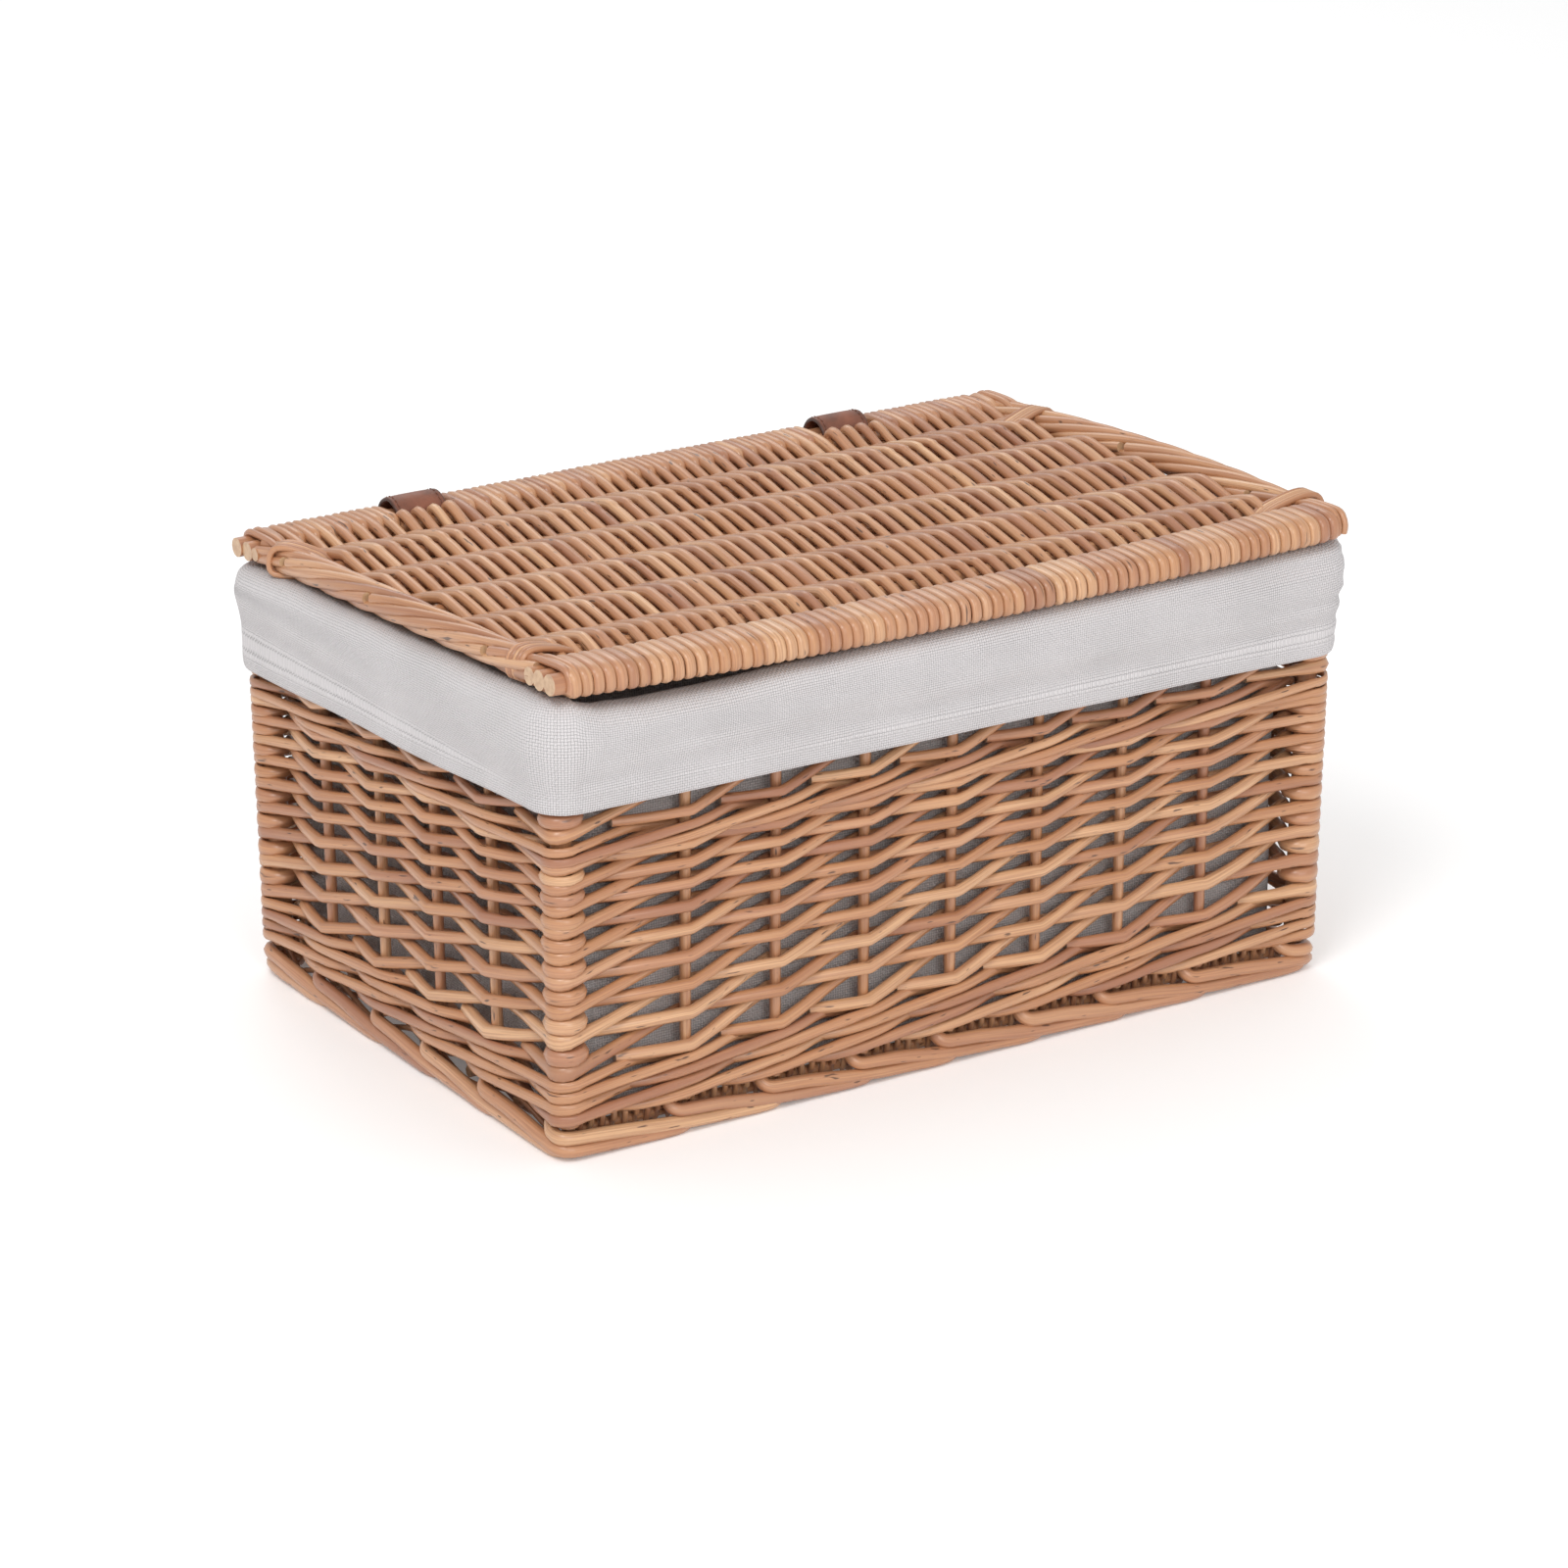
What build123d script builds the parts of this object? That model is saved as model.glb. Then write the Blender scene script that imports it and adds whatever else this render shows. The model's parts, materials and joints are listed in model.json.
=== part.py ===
from build123d import *
import os
from math import cos, radians, sin

os.makedirs("parts", exist_ok=True)

# A lidded willow sewing basket with a cloth liner. Millimetres, +Z up, front towards -Y.
# The origin is on the floor under the middle of the basket.

# Walls, measured to their outer face at the floor
foot_half_length = 203.0
foot_half_width = 133.8
lean_length = 0.0153         # how far each end wall leans out per mm of height
lean_width = 0.0067          # the same for the long walls
stake_radius = 2.5
post_radius = 4.8
weaver = 4.7                 # thickness of a side weaver
wall_thickness = 2 * (stake_radius + weaver)
corner_radius = post_radius + weaver + 0.1

# Heights of the woven bands
foot_top = 13.8
wale_bottom = 14.0
rand_bottom = 36.0
top_wale_bottom = 133.0
rim_rand_bottom = 143.0
rim_rand_top = 177.0
foot_width = 8.0             # the foot border is narrower than the wall

# Stakes of the four walls
front_pitch = 45.5
front_stakes = 7
side_pitch = 47.9
side_stakes = 4
stake_bottom = 14.2
stake_top = 176.8
pocket_gap = 0.05            # room round a rod in its weave

# Base
base_bottom = 3.0
base_top = 14.0
base_gap = 8.3               # from the wall's outer face to the base's edge
base_stick_radius = 2.8
base_weaver = 2.7
base_inner_pitch = 40.0
base_inner_sticks = 5

# Rim: a round border that the lid's straps turn on
rim_radius = 7.0
rim_height = 184.0
rim_half_length = 200.3
rim_half_width = 129.5
rim_corner = 8.0

# Liner
cloth = 1.0
liner_inset = wall_thickness + 0.3
liner_bottom = 14.3
cuff_bottom = 153.0
cuff_top = 192.0             # underside of the cloth over the rim
cuff_outer = 7.3             # from the rim's middle out to the cloth
cuff_inner = 9.2             # from the rim's middle in to the cloth
cuff_corner = 6.7            # corner radius at the rim's middle line
cuff_fold_radius = 7.2
cuff_inner_bottom = 178.0

# Lid, in its own section: y back from the hinge axis, w up from it
lid_tilt = 1.8
lid_shift = 2.0
lid_back = 10.5
lid_front = -272.3
lid_weaver = 3.4
thick_stick = 3.1            # radii of the lid's sticks
thin_stick = 2.7
rib_radius = 3.0
lid_under = 12.0
lid_middle = lid_under + lid_weaver + thick_stick
lid_thickness = 2 * (lid_weaver + thick_stick)
lid_weave_half = 186.0
lid_rope_end = 200.0
lid_wrap_end = 198.0
lid_stick_half = 205.0
lid_rib_half = 199.0
lid_wrap_width = 25.0
lid_rope_thickness = 11.0
lid_ribs = [-51.5, -95.0, -138.5, -182.0, -225.0]

# Leather hinge straps
strap_width = 24.0
strap_thickness = 2.0
strap_radius = 9.4           # outer radius of the turn round the rim
strap_positions = {"left": -120.0, "right": 114.0}
strap_room = 1.5             # free width beside a strap
strap_slot_bottom = 169.0
strap_front = -13.0
strap_back = 12.5
strap_top = 28.0
strap_corner = 4.0

SIDES = {
    "front": ((1, 0, 0), (0, -1, 0)),
    "right": ((0, 1, 0), (1, 0, 0)),
    "back": ((-1, 0, 0), (0, 1, 0)),
    "left": ((0, -1, 0), (-1, 0, 0)),
}


def save(part, name):
    part.label = name
    export_step(part, f"parts/{name}.step")


def half_length(z):
    return foot_half_length + lean_length * z


def half_width(z):
    return foot_half_width + lean_width * z


def stake_places(side):
    """Middle points of a wall's stakes, as functions of height."""
    depth = stake_radius + weaver
    if side in ("front", "back"):
        sign = -1 if side == "front" else 1
        xs = [(i - (front_stakes - 1) / 2) * front_pitch for i in range(front_stakes)]
        return [lambda z, x=x: (x, sign * (half_width(z) - depth)) for x in xs]
    sign = -1 if side == "left" else 1
    ys = [(i - (side_stakes - 1) / 2) * side_pitch for i in range(side_stakes)]
    return [lambda z, y=y: (sign * (half_length(z) - depth), y) for y in ys]


def post_place(sx, sy):
    return lambda z: (sx * (half_length(z) - corner_radius), sy * (half_width(z) - corner_radius))


POSTS = {
    "front_left": post_place(-1, -1),
    "front_right": post_place(1, -1),
    "back_left": post_place(-1, 1),
    "back_right": post_place(1, 1),
}


def leaning_rod(place, radius, low, high, mode=Mode.ADD):
    """Add to the open part a round rod whose middle follows the wall's lean."""
    ends = []
    for z in (low, high):
        with BuildSketch(Plane.XY.offset(z)) as end:
            with Locations(place(z)):
                Circle(radius)
        ends.append(end.sketch)
    loft(ends, mode=mode)


def mitre(side, z):
    """The plan region of one wall, cut at 45 degrees through each corner."""
    reach = 60
    (ax, ay, _), (ox, oy, _) = SIDES[side]
    along = half_length(z) if side in ("front", "back") else half_width(z)
    out = half_width(z) if side in ("front", "back") else half_length(z)
    corners = [(-along - reach, out + reach), (along + reach, out + reach)]
    corners += [(along - reach, out - reach), (-along + reach, out - reach)]
    return [(a * ax + o * ox, a * ay + o * oy) for a, o in corners]


def band_shape(side, low, high, outer_inset, inner_inset, corner):
    """Add to the open part one wall's share of a band that runs round the basket."""
    outer = []
    inner = []
    for z in (low, high):
        length = 2 * half_length(z)
        width = 2 * half_width(z)
        with BuildSketch(Plane.XY.offset(z)) as outline:
            RectangleRounded(length - 2 * outer_inset, width - 2 * outer_inset, corner)
        outer.append(outline.sketch)
        with BuildSketch(Plane.XY.offset(z)) as hollow:
            Rectangle(length - 2 * inner_inset, width - 2 * inner_inset)
        inner.append(hollow.sketch)
    loft(outer)
    loft(inner, mode=Mode.SUBTRACT)
    with BuildSketch(Plane.XY.offset(low - 1)) as share:
        Polygon(*mitre(side, (low + high) / 2), align=None)
    extrude(share.sketch, amount=high - low + 2, mode=Mode.INTERSECT)


def strap_slots(low, high):
    """Open the back wall where the straps turn round the rim."""
    for x in strap_positions.values():
        with BuildSketch(Plane.XY.offset(low)) as slot:
            with Locations((x, rim_half_width)):
                Rectangle(strap_width + 2 * strap_room, 60)
        extrude(slot.sketch, amount=high - low, mode=Mode.SUBTRACT)


def woven_wall(name, side, low, high):
    """A band of side weave with pockets for the stakes and corner posts that it holds."""
    with BuildPart() as band:
        band_shape(side, low, high, 0, wall_thickness, corner_radius)
        for place in stake_places(side):
            leaning_rod(place, stake_radius + pocket_gap, low - 1, high + 1, Mode.SUBTRACT)
        for place in POSTS.values():
            leaning_rod(place, post_radius + pocket_gap, low - 1, high + 1, Mode.SUBTRACT)
        if side == "back" and high > strap_slot_bottom:
            strap_slots(strap_slot_bottom, high + 1)
    save(band.part, f"{name}_{side}")


# Foot border: the flat ring that the basket stands on
for side in SIDES:
    with BuildPart() as foot:
        band_shape(side, 0, foot_top, 0, foot_width, corner_radius - 1)
    save(foot.part, f"foot_border_{side}")

# Woven bands of the four walls, from the foot up
for side in SIDES:
    woven_wall("bottom_wale", side, wale_bottom, rand_bottom)
    woven_wall("side_weave", side, rand_bottom, top_wale_bottom)
    woven_wall("top_wale", side, top_wale_bottom, rim_rand_bottom)
    woven_wall("rim_weave", side, rim_rand_bottom, rim_rand_top)

# Upright stakes inside the walls
for side in SIDES:
    with BuildPart() as stakes:
        for place in stake_places(side):
            leaning_rod(place, stake_radius, stake_bottom, stake_top)
    save(stakes.part, f"stakes_{side}")

# Thick corner posts
for corner_name, place in POSTS.items():
    with BuildPart() as post:
        leaning_rod(place, post_radius, stake_bottom, stake_top)
    save(post.part, f"corner_post_{corner_name}")

# Base: lengthwise sticks held in their own weave
base_half_width = foot_half_width - base_gap
base_half_length = foot_half_length - base_gap
base_middle = (base_bottom + base_top) / 2
base_outer_y = base_half_width - base_weaver - base_stick_radius
base_section = Plane(origin=(0, 0, base_middle), x_dir=(0, 1, 0), z_dir=(1, 0, 0))

with BuildPart() as base_outer_sticks:
    with BuildSketch(base_section):
        with Locations((-base_outer_y, 0), (base_outer_y, 0)):
            Circle(base_stick_radius)
    extrude(amount=base_half_length - 2, both=True)
save(base_outer_sticks.part, "base_outer_sticks")

with BuildPart() as base_inner_rods:
    with BuildSketch(base_section):
        with GridLocations(base_inner_pitch, 1, base_inner_sticks, 1):
            Circle(base_stick_radius)
    extrude(amount=base_half_length - 2, both=True)
save(base_inner_rods.part, "base_inner_sticks")

with BuildPart() as base_weave:
    with BuildSketch(base_section):
        RectangleRounded(2 * base_half_width, base_top - base_bottom, (base_top - base_bottom) / 2.2)
        with Locations((-base_outer_y, 0), (base_outer_y, 0)):
            Circle(base_stick_radius + pocket_gap, mode=Mode.SUBTRACT)
        with GridLocations(base_inner_pitch, 1, base_inner_sticks, 1):
            Circle(base_stick_radius + pocket_gap, mode=Mode.SUBTRACT)
    extrude(amount=base_half_length, both=True)
save(base_weave.part, "base_weave")


def rim_run(side, section):
    """Add to the open part a section, drawn outward and up from the rim, run along one side."""
    along, outward = (Vector(*v) for v in SIDES[side])
    long_side = side in ("front", "back")
    distance = rim_half_width if long_side else rim_half_length
    half_run = (rim_half_length if long_side else rim_half_width) - rim_corner
    for end in (1, -1):
        start = along * (end * half_run) + outward * distance + Vector(0, 0, rim_height)
        turn = along * (end * half_run) + outward * (distance - rim_corner)
        with BuildSketch(Plane(origin=start, x_dir=outward, z_dir=along * -1)) as profile:
            section()
        if end == 1:
            extrude(profile.sketch, amount=2 * half_run)
        revolve(profile.sketch, axis=Axis(turn, (0, 0, end)), revolution_arc=45)


def border_section():
    Circle(rim_radius)


# Round top border
for side in SIDES:
    with BuildPart() as border:
        rim_run(side, border_section)
    save(border.part, f"top_border_{side}")


def fold_block(outer, inner, top, fillet_radius):
    """Add to the open part a ring round the rim, rounded over its top."""
    with BuildSketch(Plane.XY.offset(cuff_bottom)) as ring:
        RectangleRounded(
            2 * (rim_half_length + outer), 2 * (rim_half_width + outer), cuff_corner + outer
        )
        RectangleRounded(
            2 * (rim_half_length - inner), 2 * (rim_half_width - inner), cloth, mode=Mode.SUBTRACT
        )
    ring_body = extrude(ring.sketch, amount=top - cuff_bottom)
    fillet(ring_body.faces().sort_by(Axis.Z)[-1].edges(), fillet_radius)


with BuildPart() as fold_hollow:
    fold_block(cuff_outer, cuff_inner, cuff_top, cuff_fold_radius)

with BuildPart() as whole_cuff:
    fold_block(cuff_outer + cloth, cuff_inner + cloth, cuff_top + cloth, cuff_fold_radius + cloth)
    add(fold_hollow.part, mode=Mode.SUBTRACT)
    with BuildSketch(Plane.XY.offset(cuff_bottom)) as below_inner_edge:
        Rectangle(2 * (rim_half_length - cuff_inner + 1), 2 * (rim_half_width - cuff_inner + 1))
    extrude(
        below_inner_edge.sketch, amount=cuff_inner_bottom - cuff_bottom, mode=Mode.SUBTRACT
    )

# The liner's cuff, in the four pieces that are sewn at the corners
for side in SIDES:
    with BuildPart() as cuff:
        add(whole_cuff.part)
        with BuildSketch(Plane.XY.offset(cuff_bottom)) as share:
            Polygon(*mitre(side, rim_height), align=None)
        extrude(share.sketch, amount=2 * (rim_height - cuff_bottom), mode=Mode.INTERSECT)
        if side == "back":
            strap_slots(strap_slot_bottom - 4, rim_height + 20)
    save(cuff.part, f"liner_cuff_{side}")

# Liner bag: four side panels and a floor panel
for side in SIDES:
    with BuildPart() as panel:
        band_shape(side, liner_bottom, cuff_inner_bottom, liner_inset, liner_inset + cloth, 0.8)
    save(panel.part, f"liner_side_{side}")

with BuildPart() as liner_floor:
    with BuildSketch(Plane.XY.offset(liner_bottom)):
        Rectangle(
            2 * (half_length(liner_bottom) - liner_inset - cloth - 0.1),
            2 * (half_width(liner_bottom) - liner_inset - cloth - 0.1),
        )
    extrude(amount=cloth)
save(liner_floor.part, "liner_floor")

# Lid: every piece is a run along X of a section drawn square to the hinge axis
tilt = radians(lid_tilt)
lid_section = Plane(
    origin=(lid_shift, rim_half_width, rim_height),
    x_dir=(0, cos(tilt), -sin(tilt)),
    z_dir=(1, 0, 0),
)
back_bundle = [
    (lid_back - lid_weaver - thick_stick, thick_stick),
    (lid_back - lid_weaver - 2 * thick_stick - thin_stick, thin_stick),
    (lid_back - lid_weaver - 2 * thick_stick - 3 * thin_stick, thin_stick),
]
front_bundle = [(lid_back + lid_front - y, r) for y, r in back_bundle]
ribs = [(y, rib_radius) for y in lid_ribs]


def lid_rods(rods, gap=0.0, mode=Mode.ADD):
    for y, radius in rods:
        with Locations((y, lid_middle)):
            Circle(radius + gap, mode=mode)


for name, rods, reach in (
    ("lid_front_sticks", front_bundle, lid_stick_half),
    ("lid_back_sticks", back_bundle, lid_stick_half),
    ("lid_ribs", ribs, lid_rib_half),
):
    with BuildPart() as sticks:
        with BuildSketch(lid_section):
            lid_rods(rods)
        extrude(amount=reach, both=True)
    save(sticks.part, name)

with BuildPart() as lid_weave:
    with BuildSketch(lid_section):
        with Locations(((lid_back + lid_front) / 2, lid_middle)):
            RectangleRounded(lid_back - lid_front, lid_thickness, lid_thickness / 2 - 0.1)
        lid_rods(front_bundle + back_bundle + ribs, pocket_gap, Mode.SUBTRACT)
    extrude(amount=lid_weave_half, both=True)
    for x in strap_positions.values():
        with BuildSketch(lid_section.offset(x - lid_shift)):
            with Locations(((strap_front + lid_back + 1) / 2, lid_middle)):
                Rectangle(lid_back + 1 - strap_front, lid_thickness + 2)
        extrude(amount=strap_width / 2 + 0.5, both=True, mode=Mode.SUBTRACT)
save(lid_weave.part, "lid_weave")

# Twined ropes across the lid's two ends, between the corner bindings
rope_back = lid_back - lid_wrap_width - 0.1
rope_front = lid_front + lid_wrap_width + 0.1
for end, start in (("left", -lid_rope_end), ("right", lid_weave_half)):
    with BuildPart() as rope:
        with BuildSketch(lid_section.offset(start)):
            with Locations(((rope_back + rope_front) / 2, lid_middle)):
                RectangleRounded(rope_back - rope_front, lid_rope_thickness, 4)
            lid_rods(ribs, pocket_gap, Mode.SUBTRACT)
        extrude(amount=lid_rope_end - lid_weave_half)
    save(rope.part, f"lid_end_rope_{end}")

# Bindings round the stick bundles at the lid's corners
for depth, rods, middle in (
    ("front", front_bundle, lid_front + lid_wrap_width / 2),
    ("back", back_bundle, lid_back - lid_wrap_width / 2),
):
    for end, start in (("left", -lid_wrap_end), ("right", lid_weave_half)):
        with BuildPart() as binding:
            with BuildSketch(lid_section.offset(start)):
                with Locations((middle, lid_middle)):
                    RectangleRounded(lid_wrap_width, lid_thickness, lid_thickness / 2 - 0.1)
                lid_rods(rods, pocket_gap, Mode.SUBTRACT)
            extrude(amount=lid_wrap_end - lid_weave_half)
        save(binding.part, f"lid_corner_binding_{depth}_{end}")

# Leather straps: a round turn under the rim and a loose loop over the lid's back sticks
for name, x in strap_positions.items():
    with BuildPart() as strap:
        with BuildSketch(lid_section.offset(x - lid_shift)):
            with BuildLine():
                Polyline(
                    (strap_radius, 0),
                    (strap_back, lid_under - 2),
                    (strap_back, strap_top - strap_corner),
                )
                TangentArc(
                    (strap_back, strap_top - strap_corner),
                    (strap_back - strap_corner, strap_top),
                    tangent=(0, 1),
                )
                Line((strap_back - strap_corner, strap_top), (strap_front + strap_corner, strap_top))
                TangentArc(
                    (strap_front + strap_corner, strap_top),
                    (strap_front, strap_top - strap_corner),
                    tangent=(-1, 0),
                )
                Polyline(
                    (strap_front, strap_top - strap_corner),
                    (strap_front, lid_under - 2),
                    (-strap_radius, 0),
                )
                ThreePointArc((-strap_radius, 0), (0, -strap_radius), (strap_radius, 0))
            make_face()
            offset(amount=-strap_thickness, mode=Mode.SUBTRACT)
        extrude(amount=strap_width / 2, both=True)
    save(strap.part, f"hinge_strap_{name}")
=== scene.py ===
import json
import math
import random

import bmesh
import bpy
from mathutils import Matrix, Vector, noise


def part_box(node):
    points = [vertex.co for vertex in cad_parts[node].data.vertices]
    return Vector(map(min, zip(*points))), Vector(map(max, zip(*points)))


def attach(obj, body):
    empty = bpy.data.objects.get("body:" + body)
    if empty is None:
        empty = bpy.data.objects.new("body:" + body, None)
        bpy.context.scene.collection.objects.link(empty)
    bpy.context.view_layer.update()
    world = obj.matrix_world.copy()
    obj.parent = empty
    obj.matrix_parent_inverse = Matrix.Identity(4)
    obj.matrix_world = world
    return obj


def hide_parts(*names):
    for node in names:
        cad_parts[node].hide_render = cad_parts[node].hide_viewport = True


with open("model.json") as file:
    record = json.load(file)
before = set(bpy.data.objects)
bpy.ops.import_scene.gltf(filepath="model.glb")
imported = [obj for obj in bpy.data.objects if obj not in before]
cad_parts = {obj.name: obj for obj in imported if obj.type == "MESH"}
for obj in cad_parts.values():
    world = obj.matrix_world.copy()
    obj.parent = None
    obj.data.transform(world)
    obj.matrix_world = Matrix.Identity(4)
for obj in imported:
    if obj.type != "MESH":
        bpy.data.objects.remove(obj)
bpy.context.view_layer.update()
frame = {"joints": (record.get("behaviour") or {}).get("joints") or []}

bl_info = {
    "name": "Lined willow sewing basket",
    "version": (1, 0, 0),
    "blender": (4, 5, 0),
    "location": "View3D > Sidebar > Sewing Basket",
    "description": "Weaves a lidded willow basket and sews its cotton liner and leather straps",
    "category": "Object",
}

MM = 0.001

# The sides in the order that the weavers run: front, right, back, left
SIDE_NAMES = ("front", "right", "back", "left")
ALONG = (Vector((1, 0, 0)), Vector((0, 1, 0)), Vector((-1, 0, 0)), Vector((0, -1, 0)))
OUTWARD = (Vector((0, -1, 0)), Vector((1, 0, 0)), Vector((0, 1, 0)), Vector((-1, 0, 0)))
UP = Vector((0, 0, 1))
STAKE_COUNTS = (7, 4, 7, 4)

# Rods inside the walls, as the frame has them
STAKE_RADIUS = 2.5 * MM
POST_RADIUS = 4.8 * MM
STAKE_INSET = 7.2 * MM
POST_INSET = 9.6 * MM

# The rim that the liner folds over, and the lid's own section behind the hinge axis
RIM_HALF_LENGTH = 200.3 * MM
RIM_HALF_WIDTH = 129.5 * MM
RIM_CORNER = 8 * MM
HINGE = Vector(frame["joints"][0]["pos_m"])
LID_TILT = math.radians(1.8)
LID_SHIFT = 2 * MM
LID_MIDDLE = 18.5 * MM
LID_FRONT = -272.3 * MM
LID_BACK = 10.5 * MM
LID_WEAVE_HALF = 191.5 * MM
RIB_ROWS = [(-51.5 - 43.5 * k) * MM for k in range(4)] + [-225 * MM]
FRONT_BUNDLE = ((7.4, 4.7), (16.4, 4.4), (24.4, 3.9))   # inset from the lid's edge, radius, in mm
BACK_BUNDLE = ((6.6, 4.5), (14.9, 4.2), (21.6, 3.1))
FRONT_WIDTH = 30 * MM
BACK_WIDTH = 25 * MM
FRONT_HALF_HEIGHT = 7.5 * MM
BACK_HALF_HEIGHT = 6.9 * MM
FRONT_TIP = 203 * MM                    # the right front tip, where the last turns close in
TIP_POINTS = 24                         # points of the winding over which they do, 16 to a turn
TIP_SQUEEZE = 0.22
STRAPS = {"left": -116.5 * MM, "right": 114 * MM}
STRAP_WIDTH = 26.5 * MM
STRAP_FRONT = -6.5 * MM


# Sizes and colours that a maker would change

class WallSizes(bpy.types.PropertyGroup):
    """Rods and rows of the four walls and the foot."""

    weaver_butt: bpy.props.FloatProperty(
        name="Weaver Butt", description="Thickness of a side weaver at its thick end",
        default=5.9 * MM, unit="LENGTH")
    weaver_tip: bpy.props.FloatProperty(
        name="Weaver Tip", description="Thickness of a side weaver at its thin end",
        default=4.9 * MM, unit="LENGTH")
    row_count: bpy.props.IntProperty(
        name="Rows", description="Strokes that each side weaver makes", default=9)
    first_row: bpy.props.FloatProperty(
        name="First Row", description="Height of the lowest row of side weave",
        default=40.3 * MM, unit="LENGTH")
    row_pitch: bpy.props.FloatProperty(
        name="Row Pitch", description="Height between the two lowest rows",
        default=14.6 * MM, unit="LENGTH")
    row_shrink: bpy.props.FloatProperty(
        name="Row Shrink", description="How much closer each row is than the one below", default=0.93)
    wale_thickness: bpy.props.FloatProperty(
        name="Wale Rod", description="Thickness of the rods of the wales",
        default=4.9 * MM, unit="LENGTH")
    foot_thickness: bpy.props.FloatProperty(
        name="Foot Rod", description="Thickness of the rods of the foot border",
        default=6.4 * MM, unit="LENGTH")
    waver: bpy.props.FloatProperty(
        name="Waver", description="How far a rod wanders from its line",
        default=0.5 * MM, unit="LENGTH")


class LidSizes(bpy.types.PropertyGroup):
    """Rods of the lid."""

    weaver: bpy.props.FloatProperty(
        name="Lid Weaver", description="Thickness of the rods woven over the ribs",
        default=4.9 * MM, unit="LENGTH")
    pitch: bpy.props.FloatProperty(
        name="Weaver Pitch", description="Distance from one lid weaver to the next",
        default=4.0 * MM, unit="LENGTH")
    wrap: bpy.props.FloatProperty(
        name="Wrap Thickness", description="Thickness of the skein round the edge sticks",
        default=3.4 * MM, unit="LENGTH")
    wrap_pitch: bpy.props.FloatProperty(
        name="Wrap Pitch", description="Distance from one turn of the skein to the next",
        default=5.5 * MM, unit="LENGTH")
    bow: bpy.props.FloatProperty(
        name="Bow", description="How far the front corners of the lid curl up",
        default=4.0 * MM, unit="LENGTH")


class ClothSizes(bpy.types.PropertyGroup):
    """Cotton liner and its stitching."""

    cloth: bpy.props.FloatProperty(
        name="Cloth", description="Thickness of the cotton canvas", default=0.9 * MM, unit="LENGTH")
    thread_pitch: bpy.props.FloatProperty(
        name="Thread Pitch", description="Distance between two threads of the canvas",
        default=1.15 * MM, unit="LENGTH")
    stitch_spacing: bpy.props.FloatProperty(
        name="Stitch Spacing", description="Distance from one stitch to the next",
        default=3.1 * MM, unit="LENGTH")
    stitch_length: bpy.props.FloatProperty(
        name="Stitch Length", description="Length of a stitch", default=2.3 * MM, unit="LENGTH")
    thread: bpy.props.FloatProperty(
        name="Thread", description="Thickness of the sewing thread", default=0.32 * MM, unit="LENGTH")
    hem: bpy.props.FloatProperty(
        name="Hem", description="Height of the cuff's hem above its edge", default=7 * MM, unit="LENGTH")


class Finishes(bpy.types.PropertyGroup):
    """Colours of the willow, cloth and leather."""

    willow_light: bpy.props.FloatVectorProperty(
        name="Willow Light", description="Palest rods", subtype="COLOR", default=(0.70, 0.42, 0.225))
    willow: bpy.props.FloatVectorProperty(
        name="Willow", description="Most of the rods", subtype="COLOR", default=(0.53, 0.26, 0.12))
    willow_dark: bpy.props.FloatVectorProperty(
        name="Willow Dark", description="Darkest rods", subtype="COLOR", default=(0.33, 0.135, 0.068))
    knot: bpy.props.FloatVectorProperty(
        name="Knot", description="Knots and bruises", subtype="COLOR", default=(0.07, 0.03, 0.016))
    canvas: bpy.props.FloatVectorProperty(
        name="Canvas", description="Cotton liner", subtype="COLOR", default=(0.655, 0.625, 0.63))
    # The lining colour is the canvas painted a little darker and warmer: painted shade, for the same cotton
    # seen in shadow through the weave
    lining: bpy.props.FloatVectorProperty(
        name="Shaded Lining", description="Cotton bag inside the basket", subtype="COLOR",
        default=(0.63, 0.59, 0.58))
    thread: bpy.props.FloatVectorProperty(
        name="Thread", description="Sewing thread", subtype="COLOR", default=(0.60, 0.57, 0.565))
    leather: bpy.props.FloatVectorProperty(
        name="Leather", description="Straps", subtype="COLOR", default=(0.19, 0.065, 0.035))
    leather_edge: bpy.props.FloatVectorProperty(
        name="Leather Edge", description="Straps along their edges", subtype="COLOR",
        default=(0.045, 0.018, 0.012))
    floor: bpy.props.FloatVectorProperty(
        name="Floor", description="Studio floor", subtype="COLOR", default=(0.93, 0.93, 0.93))


# Node helpers

def node(tree, kind, inputs=None, **settings):
    """Add a node, set its options and fill its inputs with values or links."""
    made = tree.nodes.new(kind)
    for key, value in settings.items():
        setattr(made, key, value)
    for key, value in (inputs or {}).items():
        if isinstance(value, bpy.types.NodeSocket):
            tree.links.new(value, made.inputs[key])
        else:
            made.inputs[key].default_value = value
    return made


def maths(tree, operation, first, second=0.0):
    return node(tree, "ShaderNodeMath", {0: first, 1: second}, operation=operation).outputs[0]


def new_tree(name, sockets):
    """A geometry tree with named inputs and one geometry output."""
    tree = bpy.data.node_groups.new(name, "GeometryNodeTree")
    for label, kind, default in sockets:
        socket = tree.interface.new_socket(label, in_out="INPUT", socket_type="NodeSocket" + kind)
        if default is not None:
            socket.default_value = default
    tree.interface.new_socket("Geometry", in_out="OUTPUT", socket_type="NodeSocketGeometry")
    return tree, node(tree, "NodeGroupInput").outputs


def finish_tree(tree, geometry, material):
    """Every tree ends the same way: real geometry with its material."""
    real = node(tree, "GeometryNodeRealizeInstances", {"Geometry": geometry})
    finished = node(tree, "GeometryNodeSetMaterial", {"Geometry": real.outputs[0], "Material": material})
    node(tree, "NodeGroupOutput", {"Geometry": finished.outputs[0]})
    return tree


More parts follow.
